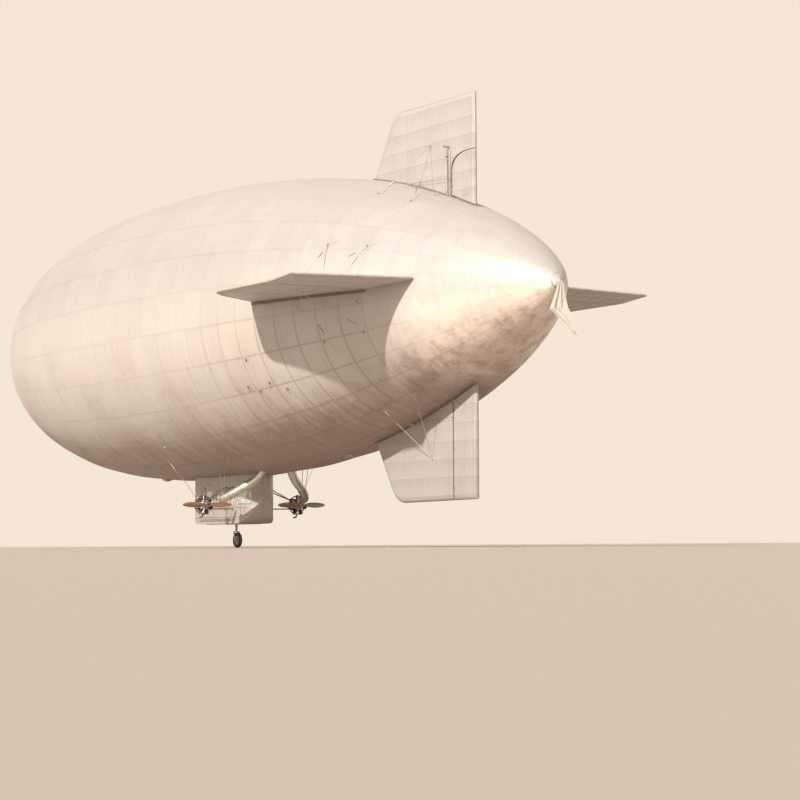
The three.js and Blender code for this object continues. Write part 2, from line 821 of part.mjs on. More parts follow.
function outrigger(sign) {
  const wallY = sign * (car.halfWidth + seatGap);
  const ringX = engine.x + engine.caseHalf + seatGap;
  const [y, z] = [sign * engine.y, engine.z];
  const { thick, radius, tubeEnd, tubeRadius, feet, padX, padZ, padThick } = outriggerRing;
  const pieces = [rod([ringX, y, z], [ringX + thick, y, z], radius, 20)];
  for (const [footX, footZ] of feet) {
    const up = Math.sign(footZ - z);
    const end = [ringX + thick / 2, y - sign * tubeEnd, z + up * tubeEnd];
    pieces.push(
      rod([footX, wallY + (sign * padThick) / 2, footZ], end, tubeRadius),
      block([footX - padX, wallY, footZ - padZ], [footX + padX, wallY + sign * padThick, footZ + padZ]),
    );
  }
  return cut(fuse(...pieces), block([-3000, -wallY, car.bottom - 1000], [3000, wallY, car.top]));
}

// A two-bladed wooden propeller, its hub bored for the shaft.
function propellerBlade() {
  const { radius, chord, thickness, pitch, root, taperFrom, facets, steps } = propeller;
  const blade = new THREE.CylinderGeometry(1, 1, radius - root, facets, steps)
    .translate(0, (radius + root) / 2, 0);
  const place = blade.attributes.position;
  for (let i = 0; i < place.count; i += 1) {
    const y = place.getY(i);
    const reach = y / radius;
    const taper = 1 - 4 * Math.max(reach - taperFrom, 0);
    const swell = Math.sin(Math.PI * 0.95 * reach) ** 1.2;
    const broad = (chord / 2) * (0.5 + 0.62 * swell) * taper;
    const thick = (thickness / 2) * (2.3 - 2 * reach);
    const angle = Math.atan2(pitch, 2 * Math.PI * Math.max(y, 150));
    const [c, s] = [Math.cos(angle), Math.sin(angle)];
    const [u, v] = [place.getX(i) * broad, place.getZ(i) * thick];
    place.setXYZ(i, v * c - u * s, y, u * c + v * s);
  }
  return blade;
}

function woodenPropeller() {
  const { propPlane, hubHalf, hubRadius, shaftRadius } = engine;
  const blades = [0, Math.PI].map((turn) => propellerBlade().rotateX(turn).translate(propPlane, 0, 0));
  const hub = rod([propPlane - hubHalf, 0, 0], [propPlane + hubHalf, 0, 0], hubRadius, 20);
  const bore = rod([propPlane - 300, 0, 0], [propPlane + 300, 0, 0], shaftRadius + pinSlack, 24);
  return cut(fuse(hub, ...blades), bore);
}

// Air scoops: hollow pipes from the propellers' wash to the belly
function airScoop(sign) {
  const extrudePath = new THREE.CatmullRomCurve3(
    scoop.path.map(([x, y, z]) => new THREE.Vector3(x, sign * y, z)));
  const section = new THREE.Shape().absarc(0, 0, scoop.outer, 0, 2 * Math.PI);
  section.holes.push(new THREE.Path().absarc(0, 0, scoop.inner, 0, 2 * Math.PI));
  const pipe = new THREE.ExtrudeGeometry(section, { steps: 7, extrudePath, curveSegments: 5 });
  return cut(pipe, seatedHull);
}

// Landing gear
const forkTop = car.bottom - seatGap;

function castorFork() {
  const { x, z, width, trail, axleRadius, forkGap, legThick, pinRadius, pinRise, collarRadius } = wheel;
  const pinX = x + trail;
  const legY = width / 2 + forkGap + legThick / 2;
  const crown = z + wheel.radius + 40;
  const legShape = polygon([
    [x - 28, z - 40],
    [x + 28, z - 40],
    [pinX + 60, crown],
    [pinX - 60, crown],
  ]);
  return fuse(
    slabXZ(legShape, legThick, -legY),
    slabXZ(legShape, legThick, legY),
    block([pinX - 60, -legY, crown - 30], [pinX + 60, legY, crown]),
    rod([pinX, 0, crown - 20], [pinX, 0, forkTop - 6], collarRadius, 16),
    rod([pinX, 0, crown - 20], [pinX, 0, forkTop + pinRise], pinRadius, 24),
    rod([x, -legY, z], [x, legY, z], axleRadius, 24),
  );
}

function castorBore() {
  const pinX = wheel.x + wheel.trail;
  return rod([pinX, 0, car.bottom + 200], [pinX, 0, car.bottom - 200], wheel.pinRadius + pinSlack, 24);
}

// Half of the wheel's section: [distance from its middle as a share of its half width, radius]
const wheelSection = [
  [0.25, wheel.hubRadius],
  [0.25, wheel.rimRadius - 15],
  [0.62, wheel.rimRadius],
  [1, 215],
  [1, 255],
  [0.55, wheel.radius - 8],
  [0, wheel.radius],
];

function landingWheel() {
  const { width, hubRadius, axleRadius } = wheel;
  const bore = axleRadius + pinSlack;
  const half = [[0.8, bore], [0.8, hubRadius - 20], ...wheelSection];
  const mirrored = half.slice(0, -1).reverse().map(([across, radius]) => [-across, radius]);
  const profile = [...half, ...mirrored, half[0]].map(([across, radius]) => [(across * width) / 2, radius]);
  return closed(latheX(profile, 18).rotateZ(Math.PI / 2));
}

// Assembly
const airship = new THREE.Group();

function add(parent, name, geometry, material) {
  const mesh = new THREE.Mesh(geometry, material);
  mesh.name = name;
  parent.add(mesh);
  return mesh;
}

add(airship, 'envelope', envelope(), materials.dopedHull);
add(airship, 'nose_battens', noseBattens(), materials.wood);
add(airship, 'nose_cap', noseCapDish(), materials.aluminium);
add(airship, 'stern_cap', sternCapDish(), materials.aluminium);
add(airship, 'stern_pennant', sternPennant(), materials.cloth);
add(airship, 'gas_valve', hullFlange(1500, 62, 260, 70), materials.aluminium);
add(airship, 'air_valve_front', hullFlange(7200, 180, 230, 60), materials.aluminium);
add(airship, 'air_valve_rear', hullFlange(-7800, 180, 230, 60), materials.aluminium);

for (const row of finTable) {
  const frame = new THREE.Group();
  frame.rotation.x = radians(row.turn);
  airship.add(frame);
  // The fin's plane is lifted above the axis, so in its own frame the hull stands off by as much.
  const lift = row.rise * Math.sign(row.turn);
  const hullTool = seatedHull.clone().translate(0, -lift, 0);
  const clearTool = hullSolid(fin.rudderRise).translate(0, -lift, 0);
  const lifted = new THREE.Group();
  lifted.position.y = lift;
  frame.add(lifted);
  add(lifted, `fin_${row.name}`, fixedFin(row, hullTool), materials.dopedFin);
  const swing = new THREE.Group();
  swing.position.x = hingeX;
  swing.rotation.z = -radians(row.set) * Math.sign(row.turn);
  lifted.add(swing);
  add(swing, row.control, controlSurface(row, clearTool).translate(-hingeX, 0, 0), materials.dopedFin);
  for (const side of [-1, 1]) {
    const name = `stay_${row.name}_${row.faces[(side + 1) / 2]}`;
    add(lifted, name, cut(finStay(side), hullTool), materials.steel);
  }
}

const panels = carPanels();
const carFrame = new THREE.Group();
airship.add(carFrame);
panels.car_tub = cut(panels.car_tub, castorBore());
for (const [name, geometry] of Object.entries(panels)) add(carFrame, name, geometry, materials.paintedCar);
add(carFrame, 'car_roof', roofPanel(), materials.paintedCar);
add(carFrame, 'windscreen', noseGlass(), materials.glass);
for (const [side, sign] of [['port', 1], ['starboard', -1]]) {
  const windows = sideWindows[side];
  const glass = sideGlass(sign, windows[0][0], windows[windows.length - 1][1]);
  add(carFrame, `windows_${side}`, glass, materials.glass);
  add(carFrame, `window_tail_${side}`, tailGlass(sign), materials.glass);
}
const doorGlass = sideGlass(1, door.from + door.windowMargin, door.to - door.windowMargin);
add(carFrame, 'window_door', doorGlass, materials.glass);
add(carFrame, 'seat_pilot', chair(2350, 340, 460), materials.leather);
add(carFrame, 'seat_mate', chair(2350, -300, 460), materials.leather);
add(carFrame, 'bench', chair(150, 0, 1150), materials.leather);
add(carFrame, 'elevator_wheel', elevatorWheel(2540, -580), materials.wood);
add(carFrame, 'instrument_board', instrumentBoard(), materials.wood);
add(carFrame, 'hand_rail_port', railSide(1), materials.steel);
add(carFrame, 'hand_rail_starboard', railSide(-1), materials.steel);

for (const [side, sign] of [['port', 1], ['starboard', -1]]) {
  add(airship, `outrigger_${side}`, outrigger(sign), materials.steel);
  const mount = new THREE.Group();
  mount.position.set(engine.x, sign * engine.y, engine.z);
  airship.add(mount);
  add(mount, `engine_${side}`, radialEngine(), materials.castIron);
  add(mount, `engine_tank_${side}`, engineTank(), materials.aluminium);
  add(mount, `propeller_${side}`, woodenPropeller(), materials.wood);
  add(airship, `air_scoop_${side}`, airScoop(sign), materials.aluminium);
}

add(airship, 'castor_fork', castorFork(), materials.steel);
add(airship, 'landing_wheel', landingWheel(), materials.tyre).position.set(wheel.x, 0, wheel.z);

export default airship;
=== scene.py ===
from math import atan2, ceil, cos, degrees, exp, floor, hypot, pi, radians, sin, sqrt

import bmesh
import bpy
import numpy as np
from mathutils import Matrix, Vector


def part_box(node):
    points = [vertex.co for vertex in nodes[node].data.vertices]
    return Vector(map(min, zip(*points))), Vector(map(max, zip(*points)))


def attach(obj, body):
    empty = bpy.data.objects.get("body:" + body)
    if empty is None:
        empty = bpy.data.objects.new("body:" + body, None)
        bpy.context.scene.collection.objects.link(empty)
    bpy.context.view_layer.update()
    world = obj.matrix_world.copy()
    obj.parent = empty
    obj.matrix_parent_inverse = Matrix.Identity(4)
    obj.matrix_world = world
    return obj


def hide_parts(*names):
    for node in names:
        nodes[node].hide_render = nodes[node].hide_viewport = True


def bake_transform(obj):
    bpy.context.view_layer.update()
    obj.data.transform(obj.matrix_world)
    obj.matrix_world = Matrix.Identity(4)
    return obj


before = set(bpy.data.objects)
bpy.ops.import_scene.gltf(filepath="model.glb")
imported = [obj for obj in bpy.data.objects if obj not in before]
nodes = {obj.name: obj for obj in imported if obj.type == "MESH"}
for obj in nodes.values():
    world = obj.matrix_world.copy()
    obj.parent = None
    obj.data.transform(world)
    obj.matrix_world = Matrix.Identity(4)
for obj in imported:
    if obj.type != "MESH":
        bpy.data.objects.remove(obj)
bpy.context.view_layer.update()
print("frame loaded:", len(nodes), "nodes")


def newObject(name, data):
    thing = bpy.data.objects.new(name, data)
    bpy.context.scene.collection.objects.link(thing)
    return thing


def shift(x=0.0, y=0.0, z=0.0):
    return Matrix.Translation((x, y, z))


def spun(angle, axis):
    return Matrix.Rotation(angle, 4, axis)


def facingX(x=0.0, y=0.0, z=0.0, sign=1):       # a frame whose Z looks along X
    return shift(x, y, z) @ Matrix(((0, 0, sign), (0, 1, 0), (-sign, 0, 0))).to_4x4()


def facingSide(side):       # a turn that points Z out to port (1) or starboard (-1)
    return spun(-side * pi / 2, "X")


def moved(matrix, points):
    return [matrix @ Vector(p) for p in points]


def onSide(side, point):        # a point drawn for port, carried over to starboard where the side is -1
    return Vector((point[0], side * point[1], point[2]))


def circle(steps):
    return [(cos(a), sin(a)) for a in np.linspace(0, 2 * pi, steps, endpoint=False)]


# Camera, as the photo was taken: near floor level, from the port quarter
viewpoint = {
    "place": (-81.067, 42.363, -8.27), "look": (0.85283, -0.51855, 0.06152), "up": (-0.05544, 0.02723, 0.99809),
    "lens": 105.69, "farthest": 4000,
}


def makeCamera():
    look = Vector(viewpoint["look"]).normalized()
    side = look.cross(Vector(viewpoint["up"])).normalized()
    camera = newObject("camera", bpy.data.cameras.new("camera"))
    camera.matrix_world = shift(*viewpoint["place"]) @ Matrix((side, side.cross(look), -look)).transposed().to_4x4()
    camera.data.lens, camera.data.clip_end = viewpoint["lens"], viewpoint["farthest"]
    bpy.context.scene.camera = camera


# Light: a low sun from aft of abeam to port, as the fin's shadow shows, in a pale studio
lighting = {
    # name, turn and height in degrees, power, spread in degrees, color
    "lamps": (
        ("sun", 115.7, 33.9, 6.05, 1.2, (1.0, 0.93, 0.835)),
        ("haze", 165.0, 6.0, 1.2, 80.0, (1.0, 0.91, 0.80)),
    ),
    "sky": (1.0, 0.885, 0.745), "skyPower": 0.90,
    "floor": (0.335, 0.295, 0.265), "floorWorn": (0.28, 0.245, 0.22), "floorHeight": -8.35, "floorReach": 1500,
}


def makeLight():
    for name, turn, height, power, spread, color in lighting["lamps"]:
        turn, height = radians(turn), radians(height)
        towards = Vector((cos(height) * cos(turn), cos(height) * sin(turn), sin(height)))
        lamp = newObject(name, bpy.data.lights.new(name, "SUN"))
        lamp.data.energy, lamp.data.color, lamp.data.angle = power, color, radians(spread)
        lamp.matrix_world = towards.to_track_quat("Z", "Y").to_matrix().to_4x4()
    world = bpy.data.worlds.new("studio")
    world.use_nodes = True
    background = world.node_tree.nodes["Background"]
    background.inputs["Color"].default_value = (*lighting["sky"], 1)
    background.inputs["Strength"].default_value = lighting["skyPower"]
    bpy.context.scene.world = world
    bpy.context.scene.view_settings.view_transform = "Standard"


# Materials by name, geometry node trees by name, and wires: outputs of nodes that reckon as numbers do
looks, trees = {}, {}


class Wire:
    def __init__(self, tree, socket):
        self.tree, self.socket = tree, socket

    def __add__(self, other):
        return maths("ADD", self, other)

    def __sub__(self, other):
        return maths("SUBTRACT", self, other)

    def __rsub__(self, other):
        return maths("SUBTRACT", other, self)

    def __mul__(self, other):
        return maths("MULTIPLY", self, other)

    def __truediv__(self, other):
        return maths("DIVIDE", self, other)


def addNode(tree, kind, inputs=None, output=0, **settings):
    node = tree.nodes.new(kind)
    for key, value in settings.items():
        setattr(node, key, value)
    for key, value in (inputs or {}).items():
        if isinstance(value, Wire):
            tree.links.new(value.socket, node.inputs[key])
        else:
            node.inputs[key].default_value = value
    return Wire(tree, node.outputs[output]) if len(node.outputs) else None


def treeOf(*values):
    return next(value.tree for value in values if isinstance(value, Wire))


def maths(operation, first, second=0.0):
    return addNode(treeOf(first, second), "ShaderNodeMath", {0: first, 1: second}, operation=operation)


def mixed(share, first, second, blend="MIX"):
    colors = {key: value if isinstance(value, Wire) else (*value, 1) for key, value in ((6, first), (7, second))}
    return addNode(treeOf(share, first, second), "ShaderNodeMix", {0: share, **colors}, 2,
                   data_type="RGBA", blend_type=blend)


def between(value, low, high, to=(0.0, 1.0)):
    return addNode(value.tree, "ShaderNodeMapRange", {0: value, 1: low, 2: high, 3: to[0], 4: to[1]},
                   interpolation_type="SMOOTHSTEP")


def noise(vector, scale, detail=4.0, rough=0.55):
    return addNode(vector.tree, "ShaderNodeTexNoise",
                   {"Vector": vector, "Scale": scale, "Detail": detail, "Roughness": rough})


def stretched(vector, scale):
    return addNode(vector.tree, "ShaderNodeMapping", {"Vector": vector, "Scale": scale})


def axisOf(vector, index):
    return addNode(vector.tree, "ShaderNodeSeparateXYZ", {0: vector}, index)


def joinedXYZ(tree, **axes):
    return addNode(tree, "ShaderNodeCombineXYZ", {key.upper(): value for key, value in axes.items()})


def bumped(height, strength, distance, under=None):
    inputs = {"Height": height, "Strength": strength, "Distance": distance}
    return addNode(height.tree, "ShaderNodeBump", inputs if under is None else {**inputs, "Normal": under})


def newMaterial(name):
    looks[name] = bpy.data.materials.new(name)
    looks[name].use_nodes = True
    tree = looks[name].node_tree
    tree.nodes.clear()
    return tree, addNode(tree, "ShaderNodeTexCoord", output="Object")


def normalOf(tree):
    return addNode(tree, "ShaderNodeTexCoord", output="Normal")


def paint(tree, color, roughness, constants, normal=None):
    inputs = {"Base Color": color, "Roughness": roughness, **constants}
    shader = addNode(tree, "ShaderNodeBsdfPrincipled", inputs if normal is None else {**inputs, "Normal": normal})
    addNode(tree, "ShaderNodeOutputMaterial", {"Surface": shader})


# Hull form, the same as the CAD envelope's, in metres
hull = {
    "nose": 17.9, "length": 39.0, "radius": 5.64, "fullest": 15.16,
    "nosePower": 2.36, "tailPower": 2.33, "tailTaper": 0.735,
    "seamStart": -10.5, "seamPitch": 1.05,      # rings of cloth
    "goreTurn": -5.4, "gores": 24,              # seams along the hull
    "ringSteps": 6, "goreSteps": 8, "endLong": 1.6, "endSteps": 22,
    "puff": 0.004, "dent": 0.018,
    "ringTape": {"width": 0.052, "thick": 0.004}, "longTape": {"width": 0.045, "thick": 0.004},
}
tail = hull["nose"] - hull["length"]


def hullRadius(x):
    x = np.asarray(x, float)
    back = np.clip(hull["nose"] - x, 0, hull["length"])
    ahead = np.clip((hull["fullest"] - back) / hull["fullest"], 0, 1)
    behind = np.clip((back - hull["fullest"]) / (hull["length"] - hull["fullest"]), 0, 1)
    front = (1 - ahead ** hull["nosePower"]) ** (1 / hull["nosePower"])
    rear = (1 - behind ** hull["tailPower"]) ** hull["tailTaper"]
    return hull["radius"] * np.where(back < hull["fullest"], front, rear)


def hullNormal(x, turn):
    slope = (hullRadius(x + 0.01) - hullRadius(x - 0.01)) / 0.02
    size = np.sqrt(1 + slope ** 2)
    return np.stack([-slope / size, np.cos(turn) / size, np.sin(turn) / size], -1)


def puffOf(share):
    return 1 - (2 * (share - np.floor(share)) - 1) ** 6


def clothLift(x, turn):     # the gas presses the cloth out between its seams
    gore = (np.degrees(turn) - hull["goreTurn"]) / (360 / hull["gores"])
    ring = (x - hull["seamStart"]) / hull["seamPitch"]
    size = hullRadius(x) / hull["radius"]
    pressed = hull["puff"] * (0.6 * puffOf(gore) + 0.4 * puffOf(ring)) * size
    slack = np.sin(0.55 * x + 2 * turn) * np.sin(0.83 * x - 3 * turn + 1) + 0.5 * np.sin(1.9 * x + 5 * turn)
    under = np.clip(-np.sin(turn), 0, 1)
    return pressed + hull["dent"] * (0.3 + 0.7 * under) * slack * size ** 2


def hullPoint(x, turn, lift=0.0):       # turn is in radians from port, positive upwards
    x, turn = np.broadcast_arrays(np.asarray(x, float), np.asarray(turn, float))
    radius = hullRadius(x)
    place = np.stack([x, radius * np.cos(turn), radius * np.sin(turn)], -1)
    return place + hullNormal(x, turn) * (clothLift(x, turn) + lift)[..., None]


# Lines for the node trees are rows: points, the surface's directions there, whether the line is closed
def hullLine(xs, turns, lift=0.0, ring=False):
    xs, turns = np.broadcast_arrays(np.asarray(xs, float), np.asarray(turns, float))
    return hullPoint(xs, turns, lift), hullNormal(xs, turns), ring


def hullRun(start, end, steps, lift=0.0):       # between two places, each x and a turn in degrees
    return hullLine(np.linspace(start[0], end[0], steps), np.radians(np.linspace(start[1], end[1], steps)), lift)


def hullSpot(x, turn, lift):
    return hullRun((x, turn), (x, turn), 1, lift)


def hullFrame(x, turn, lift=0.0):       # turn in degrees; Z points out of the hull, X forward
    a = radians(turn)
    out = Vector(hullNormal(float(x), a))
    along = (Vector((1, 0, 0)) - out * out.x).normalized()
    return shift(*hullPoint(float(x), a, lift)) @ Matrix((along, out.cross(along), out)).transposed().to_4x4()


def bearing(point):     # in degrees from port, positive upwards
    return degrees(atan2(point.z, point.y))


def circleRun(matrix, radius, height=0.0, steps=40):
    points = moved(matrix, [(radius * c, radius * s, height) for c, s in circle(steps)])
    return points, [matrix.to_3x3() @ Vector((0, 0, 1))] * steps, True


# Shapes gather points and faces, and finishShape makes them one mesh at the origin
def newShapes(count):
    return [{"points": [], "faces": []} for _ in range(count)]


def addFaces(shape, points, faces):
    start = len(shape["points"])
    shape["points"] += [Vector(p) for p in points]
    shape["faces"] += [[start + i for i in face] for face in faces]


def addRows(shape, rows, loop=True, ring=False, caps=False):        # faces between neighbouring rows of points
    count, wide = len(rows), len(rows[0])
    faces = []
    for i in range(count if ring else count - 1):
        j = (i + 1) % count
        for k in range(wide if loop else wide - 1):
            m = (k + 1) % wide
            faces.append((i * wide + k, i * wide + m, j * wide + m, j * wide + k))
    if caps:
        faces += [tuple(range(wide))[::-1], tuple(range((count - 1) * wide, count * wide))]
    addFaces(shape, [p for row in rows for p in row], faces)


def tubeRows(path, radius, sides=10, ring=False):
    path = [Vector(p) for p in path]
    count = len(path)
    radii = radius if hasattr(radius, "__len__") else [radius] * count
    rows, last = [], None
    for i, place in enumerate(path):
        before = path[i - 1] if i or ring else place
        after = path[(i + 1) % count] if i < count - 1 or ring else place
        along = (after - before).normalized()
        last = along.orthogonal().normalized() if last is None else (last - along * last.dot(along)).normalized()
        other = along.cross(last)
        rows.append([place + (last * c + other * s) * radii[i] for c, s in circle(sides)])
    return rows


def addTube(shape, path, radius, sides=10, ring=False):
    addRows(shape, tubeRows(path, radius, sides, ring), ring=ring, caps=not ring)


def addRing(shape, matrix, radius, thick, steps=40, sides=8):
    addTube(shape, moved(matrix, [(radius * c, radius * s, 0) for c, s in circle(steps)]), thick, sides, ring=True)


def addDrum(shape, matrix, profile, steps=24):      # profile rows: height along the frame's Z, radius
    addRows(shape, [moved(matrix, [(r * c, r * s, z) for c, s in circle(steps)]) for z, r in profile])


def mirrored(profile):      # a profile drawn on one side of zero, carried over to the other and closed
    return [*profile, *((-z, r) for z, r in reversed(profile)), profile[0]]


def addBox(shape, low, high, matrix=Matrix()):
    corners = [(x, y, z) for x in (low[0], high[0]) for y in (low[1], high[1]) for z in (low[2], high[2])]
    addFaces(shape, moved(matrix, corners),
             [(0, 1, 3, 2), (4, 6, 7, 5), (0, 4, 5, 1), (2, 3, 7, 6), (0, 2, 6, 4), (1, 5, 7, 3)])


def plainMesh(name, shape):
    mesh = bpy.data.meshes.new(name)
    mesh.from_pydata([tuple(p) for p in shape["points"]], [], shape["faces"])
    return mesh


def closeMesh(mesh, angle):     # doubles merged, faces outwards, round up to the angle
    work = bmesh.new()
    work.from_mesh(mesh)
    bmesh.ops.remove_doubles(work, verts=work.verts, dist=1e-5)
    bmesh.ops.dissolve_degenerate(work, edges=work.edges, dist=1e-6)
    bmesh.ops.recalc_face_normals(work, faces=work.faces)
    work.to_mesh(mesh)
    work.free()
    mesh.shade_smooth()
    mesh.set_sharp_from_angle(angle=radians(angle))
    return mesh


def settle(thing, name, look, body, replaces=()):
    thing.name = thing.data.name = name
    thing.data.materials.clear()
    thing.data.materials.append(looks[look])
    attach(thing, body)
    if replaces:
        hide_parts(*replaces)
    return thing


def addBevel(thing, width, angle, harden=False):
    soft = thing.modifiers.new("bevel", "BEVEL")
    soft.width, soft.segments, soft.limit_method = width, 2, "ANGLE"
    soft.angle_limit, soft.harden_normals = radians(angle), harden


def finishShape(shape, name, look, body="airship", replaces=(), bevel=0.0, angle=38):
    thing = newObject(name, closeMesh(plainMesh(name, shape), angle))
    if bevel:
        addBevel(thing, bevel, 35)
    return settle(thing, name, look, body, replaces)


# Geometry node trees for what repeats or follows a line
def newTree(name, **inputs):
    tree = trees[name] = bpy.data.node_groups.new(name, "GeometryNodeTree")
    tree.interface.new_socket("geometry", in_out="OUTPUT", socket_type="NodeSocketGeometry")
    for label, kind in inputs.items():
        tree.interface.new_socket(label, in_out="INPUT", socket_type="NodeSocket" + kind)
    given = tree.nodes.new("NodeGroupInput").outputs
    return tree, *(Wire(tree, given[label]) for label in inputs)


def endTree(tree, geometry, material, smooth=False):
    realized = addNode(tree, "GeometryNodeRealizeInstances", {0: geometry})
    if smooth:
        realized = addNode(tree, "GeometryNodeSetShadeSmooth", {"Geometry": realized})
    addNode(tree, "NodeGroupOutput",
            {0: addNode(tree, "GeometryNodeSetMaterial", {"Geometry": realized, "Material": material})})


def copied(tree, points, instance, **inputs):
    inputs = {key.capitalize(): value for key, value in inputs.items()}
    return addNode(tree, "GeometryNodeInstanceOnPoints", {"Points": points, "Instance": instance, **inputs})


def upOf(tree):
    return addNode(tree, "GeometryNodeInputNamedAttribute", {"Name": "up"}, data_type="FLOAT_VECTOR")


def facingUp(tree):
    return addNode(tree, "FunctionNodeAlignRotationToVector", {"Vector": upOf(tree)}, axis="Z")


def makeTapeTree():         # flat strips along lines, square to the surface below
    tree, lines, width, thick, material = newTree(
        "tapes", lines="Geometry", width="Float", thick="Float", material="Material")
    curve = addNode(tree, "GeometryNodeMeshToCurve", {0: lines})
    turned = addNode(tree, "GeometryNodeSetCurveNormal", {"Curve": curve, "Normal": upOf(tree)}, mode="FREE")
    section = addNode(tree, "GeometryNodeCurvePrimitiveQuadrilateral", {"Width": thick, "Height": width})
    strip = addNode(tree, "GeometryNodeCurveToMesh", {"Curve": turned, "Profile Curve": section, "Fill Caps": True})
    endTree(tree, strip, material)


def makeStudTree():         # domed heads along lines
    tree, lines, spacing, radius, flatness, material = newTree(
        "studs", lines="Geometry", spacing="Float", radius="Float", flatness="Float", material="Material")
    curve = addNode(tree, "GeometryNodeMeshToCurve", {0: lines})
    spaced = addNode(tree, "GeometryNodeResampleCurve", {"Curve": curve, "Length": spacing}, mode="LENGTH")
    head = addNode(tree, "GeometryNodeMeshUVSphere", {"Segments": 8, "Rings": 5, "Radius": radius})
    flat = joinedXYZ(tree, x=1.0, y=1.0, z=flatness)
    endTree(tree, copied(tree, spaced, head, rotation=facingUp(tree), scale=flat), material, smooth=True)


def makePatchTree():        # round doped patches, a little different in size
    tree, points, radius, thick, seed, material = newTree(
        "patches", points="Geometry", radius="Float", thick="Float", seed="Int", material="Material")
    disc = addNode(tree, "GeometryNodeMeshCylinder", {"Vertices": 20, "Radius": radius, "Depth": thick})
    size = addNode(tree, "FunctionNodeRandomValue", {"Seed": seed, 2: 0.8, 3: 1.15}, 1, data_type="FLOAT")
    endTree(tree, copied(tree, points, disc, rotation=facingUp(tree), scale=size), material)


def makeBarrelTree():       # finned cylinder barrels set round a crankcase like a star
    tree, place, cylinders, fins, low, pitch, radius, material = newTree(
        "barrels", place="Geometry", cylinders="Int", fins="Int", low="Float", pitch="Float", radius="Float",
        material="Material")
    line = addNode(tree, "GeometryNodeMeshLine",
                   {"Count": fins, "Start Location": joinedXYZ(tree, z=low), "Offset": joinedXYZ(tree, z=pitch)})
    disc = addNode(tree, "GeometryNodeMeshCylinder", {"Vertices": 18, "Radius": radius, "Depth": pitch * 0.35})
    tall = pitch * fins
    core = addNode(tree, "GeometryNodeMeshCylinder", {"Vertices": 18, "Radius": radius * 0.66, "Depth": tall})
    lifted = addNode(tree, "GeometryNodeTransform",
                     {"Geometry": core, "Translation": joinedXYZ(tree, z=low + tall * 0.5)})
    barrel = addNode(tree, "GeometryNodeJoinGeometry", {0: copied(tree, line, disc)})
    tree.links.new(lifted.socket, barrel.socket.node.inputs[0])
    star = addNode(tree, "GeometryNodeMeshLine", {"Count": cylinders, "Offset": (0, 0, 0)})
    turn = addNode(tree, "GeometryNodeInputIndex") * (2 * pi) / cylinders
    ring = copied(tree, star, barrel, rotation=joinedXYZ(tree, x=turn))
    endTree(tree, copied(tree, place, ring), material)


def linesObject(lines):
    points, ups, edges = [], [], []
    for line, up, ring in lines:
        start = len(points)
        points += [tuple(p) for p in line]
        ups += [tuple(u) for u in up]
        edges += [(start + i, start + i + 1) for i in range(len(line) - 1)]
        if ring:
            edges.append((start + len(line) - 1, start))
    mesh = bpy.data.meshes.new("lines")
    mesh.from_pydata(points, edges, [])
    mesh.attributes.new("up", "FLOAT_VECTOR", "POINT").data.foreach_set("vector", np.array(ups, np.float32).ravel())
    return newObject("lines", mesh)


def setInputs(modifier, kind, values):
    modifier.node_group = trees[kind]
    sockets = {s.name: s.identifier for s in trees[kind].interface.items_tree if s.in_out == "INPUT"}
    for label, value in values.items():
        modifier[sockets[label]] = value


def runTree(kind, lines, name, look, slot, body="airship", replaces=(), **sizes):
    source = linesObject(lines)
    setInputs(source.modifiers.new("nodes", "NODES"), kind, {**sizes, "material": looks[look]})
    bpy.context.view_layer.update()
    graph = bpy.context.evaluated_depsgraph_get()
    mesh = bpy.data.meshes.new_from_object(source.evaluated_get(graph), depsgraph=graph)
    bpy.data.objects.remove(source)
    if "up" in mesh.attributes:
        mesh.attributes.remove(mesh.attributes["up"])
    return settle(newObject(name, closeMesh(mesh, 60)), name, look, body, replaces)


# CAD nodes that stay: their loose triangles are joined, shaded round, and their edges eased
def makeEaseTree():
    tree, geometry, angle = newTree("eased", geometry="Geometry", angle="Float")
    joined = addNode(tree, "GeometryNodeMergeByDistance", {"Geometry": geometry, "Distance": 2e-5})
    edge = addNode(tree, "GeometryNodeInputMeshEdgeAngle")
    sharp = addNode(tree, "FunctionNodeCompare", {0: edge, 1: angle}, operation="GREATER_THAN")
    faces = addNode(tree, "GeometryNodeSetShadeSmooth", {"Geometry": joined, "Shade Smooth": True})
    edges = addNode(tree, "GeometryNodeSetShadeSmooth",
                    {"Geometry": faces, "Selection": sharp, "Shade Smooth": False}, domain="EDGE")
    addNode(tree, "NodeGroupOutput", {0: edges})


def keepNodes(names, look, bevel=0.0, angle=35):
    for name in names:
        node = nodes[name]
        node.data.materials.clear()
        node.data.materials.append(looks[look])
        setInputs(node.modifiers.new("eased", "NODES"), "eased", {"angle": radians(angle)})
        if bevel:
            addBevel(node, bevel, angle, harden=True)


# Doped fabric of the hull: cloth panels a little unlike each other, rain streaks, stains and slack folds; painted
# light and shade too: a darker top, a lighter flank and lower stern, a shaded underside and shaded seams
hullCloth = {
    # top and flank are painted light and shade: the top is painted darker and the flank lighter than the cloth's own
    # tone
    "top": (0.368, 0.353, 0.339), "flank": (0.55, 0.502, 0.47), "keelPaintedShade": (0.35, 0.25, 0.205),
    # stern is painted light: the lower half of the stern is painted much lighter, as if lit
    "stern": (0.84, 0.73, 0.65), "aged": (0.45, 0.385, 0.33), "stain": (0.25, 0.18, 0.135),
    "panelTone": 0.05, "seamDark": 0.34, "roughness": (0.42, 0.60), "metallic": 0.22,
    "sternLightFrom": -15.2, "sternLightTo": -17.4, "seamShadeFrom": -3.5, "seamShadeTo": -9.5,
}


